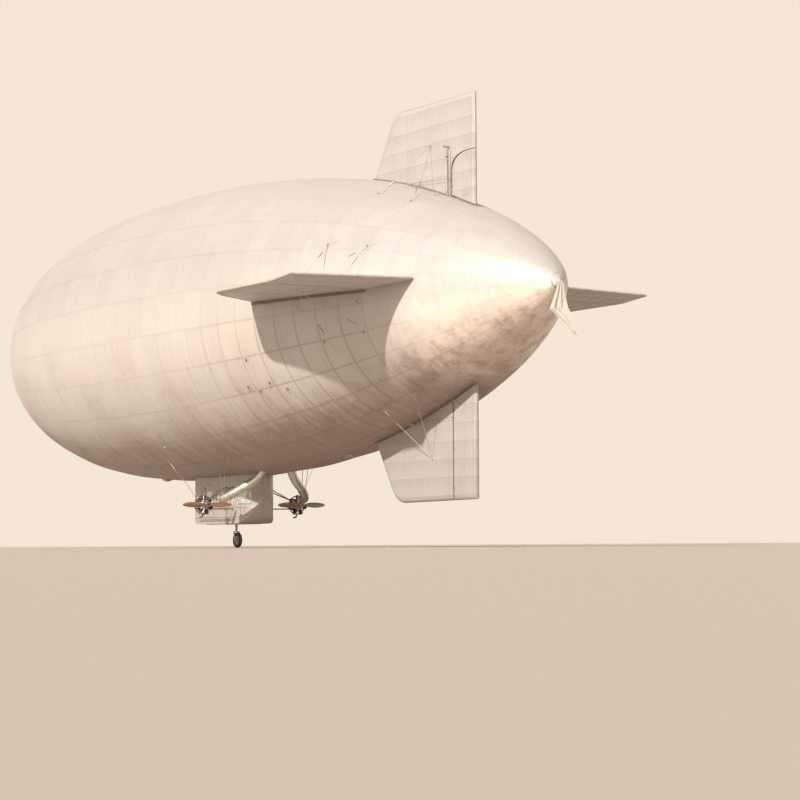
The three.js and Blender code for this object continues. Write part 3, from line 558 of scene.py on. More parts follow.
def makeHullCloth():
    tree, place = newMaterial("dopedHullCloth")
    tones = hullCloth
    x, y, z = (axisOf(place, k) for k in range(3))
    facing = axisOf(normalOf(tree), 2)
    turn = maths("ARCTAN2", z, y)
    gore = (turn - radians(hull["goreTurn"])) * (hull["gores"] / (2 * pi))
    ring = (x - hull["seamStart"]) / hull["seamPitch"]
    around = joinedXYZ(tree, x=x, y=turn * 3.0)
    blotch = noise(place, 1.3, 6.0, 0.65)
    streak = noise(stretched(around, (3.6, 0.5, 1.0)), 1.0, 5.0, 0.6)
    under = between(z, 1.5, -4.8)
    stern = between(x, tones["sternLightFrom"], tones["sternLightTo"])
    edge = facing + (blotch - 0.5) * 0.55 + (streak - 0.5) * 0.40
    # painted light and shade: by which way the cloth faces, the top is painted darker and the flank lighter
    color = mixed(between(facing, 0.50, -0.30), tones["top"], tones["flank"])
    # painted light: the lower half of the stern is painted much lighter
    color = mixed(stern * between(edge, 0.0, -0.5), color, tones["stern"])
    color = mixed(between(noise(place, 0.32, 5.0), 0.42, 0.68) * (under * 0.55 + 0.12), color, tones["aged"])
    color = mixed(between(blotch, 0.58, 0.80) * (under * 0.55), color, tones["stain"])
    color = mixed(between(streak, 0.55, 0.78) * (under * 0.45), color, tones["stain"])
    # the underside is painted dark brown as painted shade, with a ragged edge and less of it at the stern; low on the
    # stern it is mottled, partly the cloth's own mottling, partly painted shade
    color = mixed(between(edge, -0.62, -0.98) * (0.9 - stern * 0.7), color, tones["keelPaintedShade"])
    mottle = between(noise(place, 1.5, 6.0, 0.68), 0.42, 0.66) * between(edge, -0.25, -0.75, (0.0, 0.66))
    color = mixed(mottle * between(x, -13.5, -16.0), color, tones["keelPaintedShade"])
    panel = joinedXYZ(tree, x=maths("FLOOR", gore), y=maths("FLOOR", ring))
    random = addNode(tree, "ShaderNodeTexWhiteNoise", {"Vector": panel})
    shade = random * tones["panelTone"] + (1 - tones["panelTone"])
    shade = addNode(tree, "ShaderNodeCombineColor", {0: shade, 1: shade, 2: shade})
    color = mixed(1.0, color, shade, "MULTIPLY")
    # seams are painted darker, a real dark line, but only where shade falls: painted shade under the hull and on the
    # rear flank below the fins; gone at the stern
    nearRing, nearGore = maths("PINGPONG", ring, 0.5), maths("PINGPONG", gore, 0.5)
    seam = maths("MAXIMUM", between(nearRing, 0.055, 0.02), between(nearGore, 0.045, 0.012))
    # worn here masks painted shade: the flank below the fins and the underside
    worn = between(z, 0.6, -1.4) * between(x, tones["seamShadeFrom"], tones["seamShadeTo"])
    worn = maths("MAXIMUM", between(z, -4.2, -5.2), worn) * between(x, -16.5, -13.5)
    color = mixed(seam * (worn * 0.88 + 0.12) * tones["seamDark"], color, tones["stain"])
    folds = noise(stretched(around, (2.3, 0.55, 1.0)), 1.0, 4.0, 0.5)
    slack = folds * between(x, 6.0, -9.0, (0.15, 1.0)) * (under * 0.8 + 0.2)
    puckers = noise(stretched(around, (1.2, 14.0, 1.0)), 1.0, 3.0)
    normal = bumped(slack, 0.9, 0.10)
    normal = bumped(puckers * between(nearRing, 0.25, 0.03), 0.35, 0.012, normal)
    normal = bumped(noise(place, 60.0, 2.0), 0.12, 0.004, normal)
    paint(tree, color, between(blotch, 0.3, 0.75, tones["roughness"]),
          {"Metallic": tones["metallic"], "Specular IOR Level": 0.45}, normal)


# Cloth over a rib frame, for the fins and control surfaces
finCloth = {
    "color": (0.425, 0.407, 0.388), "aged": (0.34, 0.30, 0.27), "stain": (0.215, 0.175, 0.145),
    "ribPitch": 0.6, "roughness": (0.45, 0.62), "metallic": 0.15, "edgeDark": 0.80,
    # material, tone with painted light (the level fins painted lighter, the upright fins darker), axis across its
    # ribs, axis that its faces look along
    "kinds": (("dopedFinUpright", 0.92, 2, 1), ("dopedFinLevel", 1.27, 1, 2), ("dopedTape", 0.90, None, None)),
}


def makeFinCloth(name, toneAndPaintedLight, ribAxis, faceAxis):
    tree, place = newMaterial(name)
    base, aged, stain = (tuple(c * toneAndPaintedLight for c in finCloth[tone]) for tone in ("color", "aged", "stain"))
    blotch = noise(place, 2.6, 6.0, 0.62)
    streak = noise(stretched(place, (5.0, 5.0, 0.7)), 1.0, 5.0)
    color = mixed(between(noise(place, 0.7, 5.0), 0.4, 0.7) * 0.35, base, aged)
    color = mixed(between(blotch, 0.58, 0.8) * 0.28, color, stain)
    color = mixed(between(streak, 0.55, 0.8) * 0.25, color, aged)
    color = mixed(between(axisOf(place, 2), -3.6, -6.6, (0.0, 0.5)), color, aged)
    normal = bumped(noise(place, 1.4, 3.0), 0.5, 0.03)
    if ribAxis is not None:     # the rounded edges are painted darker, and the cloth sinks a little between the ribs
        rounded = between(maths("ABSOLUTE", axisOf(normalOf(tree), faceAxis)), 0.995, 0.80, (0.0, 0.85))
        color = mixed(rounded, color, tuple(c * finCloth["edgeDark"] for c in aged))
        rib = maths("PINGPONG", axisOf(place, ribAxis) / finCloth["ribPitch"], 0.5)
        normal = bumped(maths("POWER", 1.0 - rib, 3.0), 0.6, 0.03, normal)
    normal = bumped(noise(place, 90.0, 2.0), 0.1, 0.003, normal)
    paint(tree, color, between(blotch, 0.3, 0.75, finCloth["roughness"]),
          {"Metallic": finCloth["metallic"], "Specular IOR Level": 0.45}, normal)


# Paint, metal, rubber and leather share one recipe: a base, a worn tone and fine relief
solidFinishes = {
    # color, worn tone, share worn, scale of the pattern, roughness, metallic, relief
    "carPaint": ((0.37, 0.348, 0.322), (0.265, 0.235, 0.20), 0.35, 3.0, (0.32, 0.5), 0.25, 0.004),
    "paintDark": ((0.20, 0.18, 0.15), (0.34, 0.30, 0.25), 0.4, 8.0, (0.35, 0.55), 0.3, 0.002),
    "tubeSteel": ((0.33, 0.31, 0.28), (0.20, 0.15, 0.11), 0.5, 14.0, (0.3, 0.5), 0.85, 0.001),
    "spunAluminium": ((0.66, 0.62, 0.56), (0.45, 0.41, 0.36), 0.4, 9.0, (0.26, 0.46), 0.9, 0.001),
    "castCase": ((0.46, 0.43, 0.39), (0.20, 0.17, 0.14), 0.55, 22.0, (0.4, 0.6), 0.8, 0.003),
    "barrelIron": ((0.10, 0.09, 0.085), (0.19, 0.13, 0.09), 0.5, 26.0, (0.42, 0.62), 0.7, 0.001),
    "exhaustSteel": ((0.24, 0.16, 0.11), (0.40, 0.26, 0.16), 0.6, 12.0, (0.5, 0.75), 0.6, 0.002),
    "brass": ((0.62, 0.45, 0.22), (0.33, 0.22, 0.11), 0.4, 20.0, (0.25, 0.45), 0.95, 0.001),
    "tyreRubber": ((0.055, 0.05, 0.046), (0.19, 0.165, 0.14), 0.5, 10.0, (0.75, 0.92), 0.0, 0.003),
    "seatLeather": ((0.19, 0.115, 0.07), (0.33, 0.22, 0.14), 0.4, 6.0, (0.38, 0.6), 0.0, 0.002),
    "ropeFibre": ((0.52, 0.43, 0.30), (0.33, 0.26, 0.18), 0.5, 30.0, (0.8, 0.95), 0.0, 0.002),
    "cabinLining": ((0.46, 0.41, 0.33), (0.34, 0.29, 0.22), 0.4, 5.0, (0.6, 0.8), 0.0, 0.002),
    "dialFace": ((0.05, 0.05, 0.048), (0.10, 0.10, 0.09), 0.3, 30.0, (0.3, 0.4), 0.0, 0.0005),
}


def makeSolidFinish(name):
    color, worn, wear, scale, roughness, metallic, relief = solidFinishes[name]
    tree, place = newMaterial(name)
    broad, fine = noise(place, scale, 6.0, 0.62), noise(place, scale * 9, 3.0)
    color = mixed(between(broad, 0.5, 0.74) * wear, color, worn)
    color = mixed(between(fine, 0.55, 0.8) * (wear * 0.5), color, worn)
    paint(tree, color, between(broad, 0.3, 0.75, roughness), {"Metallic": metallic}, bumped(fine, 0.35, relief))


# Wood with its grain along one axis, and glued layers where it is laminated
woods = {
    # color, dark grain, stretch of the grain, glued layers in a metre, coat
    "sprucePole": ((0.40, 0.26, 0.14), (0.24, 0.14, 0.07), (0.6, 14.0, 14.0), 0.0, 0.3),
    "bladeWood": ((0.36, 0.19, 0.09), (0.17, 0.08, 0.04), (20.0, 1.1, 20.0), 26.0, 0.7),
    "panelWood": ((0.30, 0.18, 0.09), (0.16, 0.09, 0.05), (16.0, 2.0, 16.0), 0.0, 0.5),
}


def makeWood(name):
    color, dark, along, layers, coat = woods[name]
    tree, place = newMaterial(name)
    grain = noise(stretched(place, along), 1.6, 7.0, 0.68)
    color = mixed(between(grain, 0.38, 0.66), color, dark)
    if layers:
        layer = maths("PINGPONG", axisOf(place, 0) * layers, 1.0)
        color = mixed(between(layer, 0.42, 0.58) * 0.4, color, dark)
    paint(tree, color, between(grain, 0.3, 0.7, (0.3, 0.5)), {"Coat Weight": coat, "Coat Roughness": 0.2},
          bumped(grain, 0.2, 0.001))


def makeGlass():
    tree, place = newMaterial("windowGlass")
    dust = noise(place, 5.0, 5.0)
    color = mixed(between(dust, 0.4, 0.8), (0.80, 0.83, 0.80), (0.66, 0.66, 0.60))
    paint(tree, color, between(dust, 0.45, 0.8, (0.03, 0.18)), {"IOR": 1.5, "Alpha": 0.34, "Specular IOR Level": 0.6})
    looks["windowGlass"].surface_render_method = "DITHERED"


def makePennantCloth():
    tree, place = newMaterial("pennantCloth")
    soil = noise(place, 2.2, 5.0)
    color = mixed(between(soil, 0.45, 0.75) * 0.6, (0.43, 0.40, 0.37), (0.29, 0.25, 0.215))
    normal = bumped(noise(place, 220.0, 2.0), 0.3, 0.002, bumped(noise(place, 7.0, 3.0), 0.4, 0.02))
    paint(tree, color, between(soil, 0.3, 0.7, (0.8, 0.95)), {"Sheen Weight": 0.3, "Sheen Roughness": 0.6}, normal)


def makeLooks():
    makeHullCloth()
    for kind in finCloth["kinds"]:
        makeFinCloth(*kind)
    for name in solidFinishes:
        makeSolidFinish(name)
    for name in woods:
        makeWood(name)
    makeGlass()
    makePennantCloth()
    for makeTree in (makeTapeTree, makeStudTree, makePatchTree, makeBarrelTree, makeEaseTree):
        makeTree()
    print("materials and node trees made")


def makeFloor():
    tree, place = newMaterial("studioFloor")
    color = mixed(noise(place, 0.05, 3.0) * 0.12, lighting["floor"], lighting["floorWorn"])
    paint(tree, color, 0.9, {"Specular IOR Level": 0.1})
    shape, reach = newShapes(1)[0], lighting["floorReach"]
    corners = ((-1, -1), (1, -1), (1, 1), (-1, 1))
    addFaces(shape, [(x * reach, y * reach, lighting["floorHeight"]) for x, y in corners], [(0, 1, 2, 3)])
    floor = newObject("floor", plainMesh("floor", shape))
    floor.data.materials.append(looks["studioFloor"])


# Hull cloth and its seam tapes
def hullStations():
    first = ceil((tail - hull["seamStart"]) / hull["seamPitch"])
    last = floor((hull["nose"] - hull["seamStart"]) / hull["seamPitch"])
    seams = [hull["seamStart"] + k * hull["seamPitch"] for k in range(first, last + 1)]
    inner = [np.linspace(a, b, hull["ringSteps"], endpoint=False) for a, b in zip(seams, seams[1:])]
    ends = hull["endLong"] * (1 - np.cos(np.linspace(0, pi / 2, hull["endSteps"])))
    both = np.sort(np.concatenate([*inner, tail + ends, hull["nose"] - ends]))
    return both[np.concatenate([[True], np.diff(both) > 0.002])], seams


def makeHull():
    stations, seams = hullStations()
    sides = hull["gores"] * hull["goreSteps"]
    turns = radians(hull["goreTurn"]) + np.linspace(0, 2 * pi, sides, endpoint=False)
    skin = newShapes(1)[0]
    rings = hullPoint(stations[1:-1, None], turns[None, :])
    addRows(skin, [[(tail, 0, 0)] * sides, *rings, [(hull["nose"], 0, 0)] * sides])
    finishShape(skin, "hullCloth", "dopedHullCloth", replaces=["envelope"], angle=80)
    lines = [hullLine(x, turns, 0.001, True) for x in seams if tail + 0.5 < x < hull["nose"] - 0.35]
    runTree("tapes", lines, "ringSeamTapes", "dopedHullCloth", "doped_hull", **hull["ringTape"])
    along = stations[(stations > tail + 0.5) & (stations < hull["nose"] - 0.3)]
    lines = [hullLine(along, turn, 0.002) for turn in turns[::hull["goreSteps"]]]
    runTree("tapes", lines, "longSeamTapes", "dopedHullCloth", "doped_hull", **hull["longTape"])
    print("hull cloth and seam tapes made")


# Nose: battens in cloth pockets, hub ring and the bolted cap
nose = {
    "battens": 12, "battenFrom": 0.905, "battenTo": 0.045, "batten": {"width": 0.066, "thick": 0.026},
    "pocketLength": 0.16, "pocket": {"width": 0.13, "thick": 0.005}, "laceOff": 0.052,
    "lacing": {"spacing": 0.06, "radius": 0.011, "flatness": 0.5},
    "capBolts": 24, "capBoltRing": 0.262, "capFace": 0.0297, "capBolt": {"radius": 0.013, "flatness": 0.6},
    "spindleRings": ((18.06, 0.094, 0.010), (18.19, 0.066, 0.012), (18.265, 0.064, 0.009)),
    "pocketFrom": 0.10, "pocketRise": (0.08, 0.13), "hub": (0.012, 0.135), "boltUp": (0.89, 0.45),
}


def makeNose():
    front, thick = hull["nose"], nose["batten"]["thick"]
    xs = front - np.geomspace(nose["battenTo"], nose["battenFrom"], 26)
    end = front - nose["battenFrom"]
    back = np.linspace(end - nose["pocketFrom"], end + nose["pocketLength"], 10)
    rise = np.interp(back, [back[0] + reach for reach in nose["pocketRise"]], [0.004, thick + 0.003])
    lines, pockets, laces = [], [], []
    for k in range(nose["battens"]):
        turn = radians(k * 360 / nose["battens"] + 90)
        lines.append(hullLine(xs, turn, thick / 2))
        pockets.append(hullLine(back, turn, rise))
        for side in (-1, 1):
            laces.append(hullLine(xs[8:], turn + side * nose["laceOff"] / hullRadius(xs[8:]), 0.002))
    runTree("tapes", lines, "noseBattens", "sprucePole", "varnished_wood", replaces=["nose_battens"],
            **nose["batten"])
    runTree("tapes", pockets, "battenPockets", "dopedTape", "doped_hull", **nose["pocket"])
    runTree("studs", laces, "battenLacing", "ropeFibre", "varnished_wood", **nose["lacing"])
    hub, spindle = newShapes(2)
    xs = front - np.geomspace(*nose["hub"], 10)
    walls = [*hullPoint(xs, 0.0, 0.003), *hullPoint(xs, 0.0, thick + 0.002)[::-1]]
    addDrum(hub, facingX(), [(p[0], p[1]) for p in (*walls, walls[0])], 60)
    finishShape(hub, "battenHub", "sprucePole")
    keepNodes(["nose_cap"], "spunAluminium", 0.004)
    bolts = circleRun(facingX(front + nose["capFace"]), nose["capBoltRing"], 0.0, 72)[0]
    ahead, out = nose["boltUp"]
    ups = [(Vector((ahead, 0, 0)) + Vector((0, p.y, p.z)).normalized() * out).normalized() for p in bolts]
    runTree("studs", [(bolts, ups, True)], "capBolts", "tubeSteel", "steel",
            spacing=2 * pi * nose["capBoltRing"] / nose["capBolts"], **nose["capBolt"])
    for x, radius, thick in nose["spindleRings"]:
        addRing(spindle, facingX(x), radius, thick)
    finishShape(spindle, "spindleRings", "tubeSteel")


# Valves in the hull, and the stern cap
valves = {
    # node, x, radius, height
    "places": (
        ("gas_valve", 1.5, 0.26, 0.07), ("air_valve_front", 7.2, 0.23, 0.06), ("air_valve_rear", -7.8, 0.23, 0.06),
    ),
    "bolt": {"spacing": 0.06, "radius": 0.010, "flatness": 0.7}, "arms": 4,
    # shares of the valve's radius
    "boltRing": 0.86, "armReach": 0.66, "coilSeat": 0.68,
    "cap": ((0, 0), (0, 0.045), (0.03, 0.045), (0.045, 0.03), (0.05, 0)),
    "coilRadius": 0.062, "coilTurns": 5, "coilTall": 0.030, "coilWire": 0.0045,
    "sternRings": ((0.145, 0.021, 0.006), (0.03, 0.024, 0.008)),
}


def makeValves():
    gear, coils, stern = newShapes(3)
    bolts = []
    for name, x, radius, tall in valves["places"]:
        low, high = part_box(name)
        base = hullFrame(x, bearing((low + high) / 2))
        bolts.append(circleRun(base, radius * valves["boltRing"], tall / 2 + 0.001))
        for k in range(valves["arms"]):
            a = pi * k / valves["arms"]
            reach = Vector((cos(a), sin(a), 0)) * radius * valves["armReach"]
            rise = Vector((0, 0, tall + 0.012))
            addTube(gear, moved(base, [rise - reach, rise * 1.35, rise + reach]), 0.009, 8)
        addDrum(gear, base, [(tall + z, r) for z, r in valves["cap"]])
        addRing(gear, base @ shift(z=tall), radius * valves["coilSeat"], 0.010)
        turns, wide = np.linspace(0, 2 * pi * valves["coilTurns"], 90), valves["coilRadius"]
        coil = [(wide * cos(a), wide * sin(a), tall + 0.004 + valves["coilTall"] * a / turns[-1]) for a in turns]
        addTube(coils, moved(base, coil), valves["coilWire"], 6)
    keepNodes([row[0] for row in valves["places"]] + ["stern_cap"], "castCase", 0.003)
    runTree("studs", bolts, "valveBolts", "tubeSteel", "steel", **valves["bolt"])
    finishShape(gear, "valveBridges", "spunAluminium")
    finishShape(coils, "valveSprings", "tubeSteel")
    for back, radius, thick in valves["sternRings"]:
        addRing(stern, facingX(tail - back), radius, thick, 24)
    finishShape(stern, "sternRings", "tubeSteel")
    print("nose and valves fitted")


# Fins and control surfaces: rib and spar tapes over the frame
fin = {
    "trailing": tail + 4.76, "half": 0.075, "edge": 0.19, "corner": 0.56, "rootDepth": 0.35, "control": 1.35,
    "plans": {"upright": (6.5, 5.13, 0.0), "level": (7.0, 5.33, 0.5)},      # root chord, tip chord, root's trail
    "ribPitch": 0.6, "ribFrom": 5, "ribTo": 12, "tape": {"width": 0.05, "thick": 0.003}, "sparLift": 0.0012,
    "spars": (-14.62, -13.3, -12.1), "rearSpar": 0.2, "controlSpar": 0.75,
    "rows": (
        # name, turn, rise, tip, plan, control surface, its body, set angle
        ("upper", 0, 0.0, 6.83, "upright", "rudder_upper", "upper rudder", 0),
        ("port", -90, 0.19, 7.08, "level", "elevator_port", "port elevator", 5),
        ("lower", 180, 0.0, 6.83, "upright", "rudder_lower", "lower rudder", 0),
        ("starboard", 90, 0.19, 7.08, "level", "elevator_starboard", "starboard elevator", 5),
    ),
    "insetTop": 4.88, "insetLong": 0.78, "insetFrom": 4.4,
}
hinge = fin["trailing"] + fin["control"]


def finMatrix(turn, rise):
    side = (turn > 0) - (turn < 0)
    return spun(radians(turn), "X") @ shift(y=rise * side)


def controlMatrix(turn, rise, angle):
    side = (turn > 0) - (turn < 0)
    return finMatrix(turn, rise) @ shift(hinge) @ spun(-radians(angle) * side, "Z") @ shift(-hinge)


def leadingX(height, tip, plan):
    rootChord, tipChord, _ = fin["plans"][plan]
    rootX, tipX = fin["trailing"] + rootChord, fin["trailing"] + tipChord
    root = float(hullRadius(rootX))
    near = max(0.0, 1 - (tip - height) / fin["corner"])
    return rootX + (tipX - rootX) * (height - root) / (tip - root) - 0.5 * near ** 2


def trailingX(height, tip, plan):
    low, high = float(hullRadius(fin["trailing"])) - fin["rootDepth"], tip - 0.05
    return fin["trailing"] - fin["plans"][plan][2] * (high - height) / (high - low)


def hullXAt(height):    # how far forward a fin's face is clear of the hull at that height
    xs = np.linspace(-17, -7, 400)
    inside = xs[hullRadius(xs) > height - 0.02]
    return float(inside[0]) if len(inside) else 0.0


def tapesFor(matrix, runs, lift=0.0):       # runs are (x, z) lines on both faces
    lines = []
    for run in runs:
        for side in (-1, 1):
            y = side * (fin["half"] + fin["tape"]["thick"] / 2 + lift)
            out = matrix.to_3x3() @ Vector((0, side, 0))
            lines.append((moved(matrix, [(x, y, z) for x, z in run]), [out] * len(run), False))
    return lines


def straightRun(start, end, steps=6):
    (x0, z0), (x1, z1) = start, end
    return [(x0 + (x1 - x0) * t, z0 + (z1 - z0) * t) for t in np.linspace(0, 1, steps)]


def makeFins():
    fixedTapes = {plan: [] for plan in fin["plans"]}
    rearSpar = fin["trailing"] + fin["rearSpar"]
    for name, turn, rise, tip, plan, control, body, angle in fin["rows"]:
        matrix, about, upper = finMatrix(turn, rise), controlMatrix(turn, rise, angle), name == "upper"
        fixed, swinging = [], []
        for height in [k * fin["ribPitch"] for k in range(fin["ribFrom"], fin["ribTo"])]:
            if height > tip - 0.30:
                continue
            over = upper and height > fin["insetTop"] + 0.05        # here the fin itself reaches its rear edge
            rear = trailingX(height, tip, plan) + fin["edge"] * 0.8
            back = rear if over else hinge + 0.10
            ahead = min(leadingX(height, tip, plan) - fin["edge"] * 0.7, hullXAt(height) + 0.05)
            if ahead > back + 0.2:
                fixed.append(straightRun((back, height), (ahead, height)))
            clear = hullXAt(height + 0.05)
            if not over and clear > rear + 0.35:
                corner = fin["insetLong"] if upper and height > fin["insetFrom"] else 0.0
                ahead = min(hinge - 0.02 - corner * 0.8, clear - 0.1)
                swinging.append(straightRun((rear, height), (ahead, height), 4))
        spars = [straightRun((x, float(hullRadius(x)) - 0.02), (x, tip - 0.2), 8) for x in fin["spars"]]
        if upper:
            spars.append(straightRun((rearSpar, fin["insetTop"] + 0.14), (rearSpar, tip - 0.24)))
        root = float(hullRadius(fin["trailing"] + fin["plans"][plan][0])) - 0.05
        spars.append([(leadingX(z, tip, plan) - fin["edge"], z) for z in np.linspace(root, tip - 0.2, 14)])
        fixed.append(straightRun((rearSpar if upper else hinge + 0.1, tip - 0.22), (spars[-1][-1][0], tip - 0.19)))
        fixedTapes[plan] += tapesFor(matrix, fixed) + tapesFor(matrix, spars, fin["sparLift"])
        low, top = float(hullRadius(rearSpar)) + 0.14, fin["insetTop"] - 0.2 if upper else tip - 0.24
        spars = [straightRun((trailingX(start, tip, plan) + off, start), (trailingX(top, tip, plan) + off, top), 8)
                 for off, start in ((fin["rearSpar"], low), (fin["controlSpar"], low + 0.3))]
        runTree("tapes", tapesFor(about, swinging) + tapesFor(about, spars, fin["sparLift"]), control + "Tapes",
                "dopedFin" + plan.capitalize(), "doped_fin", body, **fin["tape"])
        keepNodes([f"fin_{name}", control], "dopedFin" + plan.capitalize(), 0.0, 50)
    for plan, lines in fixedTapes.items():
        runTree("tapes", lines, plan + "FinTapes", "dopedFin" + plan.capitalize(), "doped_fin", **fin["tape"])
    print("fins dressed")


# Wire stays of the fins with their screws and patches, root rails and cords, and the handling eyes
stays = {
    "padX": fin["trailing"] + 2.7, "span": 5.35, "spread": 0.9, "turn": 24.0, "depth": 0.09, "fromHull": 0.5,
    # distance along the stay, radius
    "screw": ((-0.05, 0.0125), (-0.01, 0.0125), (0.0, 0.019), (0.03, 0.017), (0.21, 0.017), (0.24, 0.019),
              (0.25, 0.0125), (0.29, 0.0125)),
    "foot": ((0.0, 0), (0.0, 0.055), (0.012, 0.055), (0.014, 0.02), (0.035, 0.018), (0.036, 0)),
    "padMiddle": 0.0203, "padFace": 0.0403,     # how far the CAD pad's middle and face stand off the fin
    "rootPatches": (-11.8, -13.04, -14.5), "rootOff": 0.46, "railOff": 0.128, "cordTop": (0.12, 0.34),
    "cord": 0.006, "cordRing": (0.03, 0.006), "eyeRing": (0.032, 0.008),
    "rail": {"width": 0.09, "thick": 0.046}, "patch": {"radius": 0.14, "thick": 0.008, "seed": 4},
    "finger": {"width": 0.075, "thick": 0.005}, "fingers": 6, "fingerReach": 0.42, "fingerSpread": 300.0,
    "bolt": {"spacing": 0.042, "radius": 0.006, "flatness": 0.7}, "boltRing": 0.028,
    # x, turn
    "eyes": ((-8.59, -21.7), (-8.03, -33.0), (-8.54, -35.9), (-9.25, -33.5), (-9.95, -38.2), (-2.3, -84.0)),
    "eye": ((0.0, 0), (0.0, 0.062), (0.014, 0.060), (0.018, 0.050), (0.018, 0.0)),
}


def fingerPatch(x, turn):
    lines = []
    for k in range(stays["fingers"]):
        a = radians(stays["fingerSpread"] * (k / (stays["fingers"] - 1) - 0.5))
        reach = stays["fingerReach"]
        end = (x + reach * cos(a), turn + degrees(reach * sin(a) / float(hullRadius(x))))
        lines.append(hullRun((x, turn), end, 7, 0.004))
    return lines


def besideFin(matrix, x, off):      # a place on the hull beside a fin's root
    return matrix @ Vector((x, off, sqrt(float(hullRadius(x)) ** 2 - off ** 2)))


def makeRigging():
    screws, cords, eyes = newShapes(3)
    fingers, rails, discs, padBolts = [], [], [], []
    for _, turn, rise, _, plan, *_ in fin["rows"]:
        matrix = finMatrix(turn, rise)
        for side in (-1, 1):
            pad, face = (Vector((stays["padX"], side * (fin["half"] + stays[key]), stays["span"]))
                         for key in ("padMiddle", "padFace"))
            face = shift(*face) @ facingSide(side)
            padBolts.append(circleRun(matrix @ face, stays["boltRing"], 0.0, 24))
            for way in (-1, 1):
                x = stays["padX"] + way * stays["spread"]
                reach, a = float(hullRadius(x)) - stays["depth"], radians(stays["turn"])
                foot = Vector((x, side * reach * sin(a), reach * cos(a)))
                along = (pad - foot).normalized()
                path = [foot + along * (stays["fromHull"] + d) for d, _ in stays["screw"]]
                addTube(screws, moved(matrix, path), [r for _, r in stays["screw"]], 10)
                footTurn = bearing(matrix @ foot)
                addDrum(screws, hullFrame(x, footTurn), stays["foot"], 16)
                discs.append(hullSpot(x, footTurn, 0.006))
                fingers += fingerPatch(x, footTurn)
            for x in stays["rootPatches"]:
                turnThere = bearing(besideFin(matrix, x, side * stays["rootOff"]))
                discs.append(hullSpot(x, turnThere, 0.006))
                there = hullFrame(x, turnThere, 0.02)
                ahead, rise = stays["cordTop"]
                high = matrix @ Vector((x + ahead, side * (fin["half"] + 0.004), float(hullRadius(x)) + rise))
                root = there.translation
                slack = there.to_3x3() @ Vector((0, 0, 0.004))
                addTube(cords, [root, root.lerp(high, 0.5) - slack, high], stays["cord"], 6)
                addRing(screws, there, *stays["cordRing"], 20, 6)
            xs = np.linspace(hinge + 0.15, fin["trailing"] + fin["plans"][plan][0] - 0.08, 34)
            turns = [radians(bearing(besideFin(matrix, x, side * stays["railOff"]))) for x in xs]
            rails.append(hullLine(xs, turns, 0.024))
    for x, turn in stays["eyes"]:
        discs.append(hullSpot(x, turn, 0.003))
        addDrum(eyes, hullFrame(x, turn), stays["eye"], 20)
        addRing(eyes, hullFrame(x, turn) @ shift(z=0.045) @ facingSide(-1), *stays["eyeRing"], 24)
    finishShape(eyes, "handlingEyes", "paintDark")
    runTree("patches", discs, "rootPatches", "dopedHullCloth", "doped_hull", **stays["patch"])
    runTree("tapes", fingers, "fingerPatches", "dopedHullCloth", "doped_hull", **stays["finger"])
    # painted shade: the root rails are painted dark to stand for the shade where each fin's root meets the hull
    runTree("tapes", rails, "rootRailsPaintedShade", "paintDark", "doped_fin", **stays["rail"])
    runTree("studs", padBolts, "stayPadBolts", "spunAluminium", "steel", **stays["bolt"])
    finishShape(screws, "stayScrews", "tubeSteel")
    finishShape(cords, "rootCords", "ropeFibre")
    keepNodes([name for name in nodes if name.startswith("stay_")], "spunAluminium")
    print("stays, rails and patches made")


# Control cables of the rudders: from the horns to fairleads beside the fin, then under sleeves along the hull
cables = {
    "radius": 0.006, "hornReach": 0.195, "height": 4.02, "leadX": -12.5, "bendFrom": 0.75, "bendTo": 0.05,
    "lead": ((-0.12, 0, 0.004), (0, 0, 0), (0.16, 0, -0.012)), "leadThick": 0.018, "legThick": 0.012,
    "sleeve": {"width": 0.06, "thick": 0.010},
    # fin's turn, body, piece, how far forward the sleeve runs, its turn on the way, steps
    "rows": ((0, "upper rudder", "upperRudderCables", -10.6, -1.0, 16),
             (180, "lower rudder", "lowerRudderCables", -2.3, 2.5, 70)),
}


def makeCables():
    guides, sleeves = newShapes(1)[0], []
    for turn, body, name, sleeveEnd, sleeveTurn, steps in cables["rows"]:
        matrix, lines = finMatrix(turn, 0), newShapes(1)[0]
        for side in (-1, 1):
            y, x, radius = side * cables["hornReach"], cables["leadX"], float(hullRadius(cables["leadX"]))
            horn = Vector((hinge + 0.02, y, cables["height"]))
            lead, foot = Vector((x, y, max(radius + 0.07, cables["height"] - 0.25))), Vector((x, y, radius - 0.02))
            addTube(lines, moved(matrix, [horn.lerp(lead, t) for t in np.linspace(0, 1, 40)]), cables["radius"], 6)
            addTube(guides, moved(matrix, [lead + Vector(p) for p in cables["lead"]]), cables["leadThick"], 10)
            addTube(guides, moved(matrix, [lead, foot]), cables["legThick"], 8)
            there = bearing(matrix @ foot)
            sleeves.append(hullRun((x + 0.1, there), (sleeveEnd, there + sleeveTurn * side), steps, 0.006))
        thing = newObject(name, closeMesh(plainMesh(name, lines), 38))
        thing.data.materials.append(looks["tubeSteel"])
        start, end = (matrix @ Vector((hinge + cables[key], 0, 0)) for key in ("bendFrom", "bendTo"))
        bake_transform(thing)
    finishShape(guides, "cableFairleads", "spunAluminium")
    runTree("tapes", sleeves, "cableSleeves", "dopedHullCloth", "doped_hull", **cables["sleeve"])


# Small fittings of the upper fin's cable post, seen against the fin in the photo
post = {
    "x": hinge + 0.18, "y": 0.165, "arms": ((5.12, 0.32), (4.80, 0.23)), "guides": (3.6, 4.1, 4.6),
    "trunk": ((hinge + 0.108, 0.079, 3.02), (hinge + 0.28, 0.125, 5.02)),
    "plate": ((hinge - 0.98, 0.0765, 3.36), (hinge - 0.60, 0.0815, 3.58)),
    # rings: distance in from the arm's end, radius, thickness
    "armRings": ((0.02, 0.034, 0.009), (0.075, 0.034, 0.006)), "ring": (0.030, 0.008), "guide": (0.027, 0.007),
}


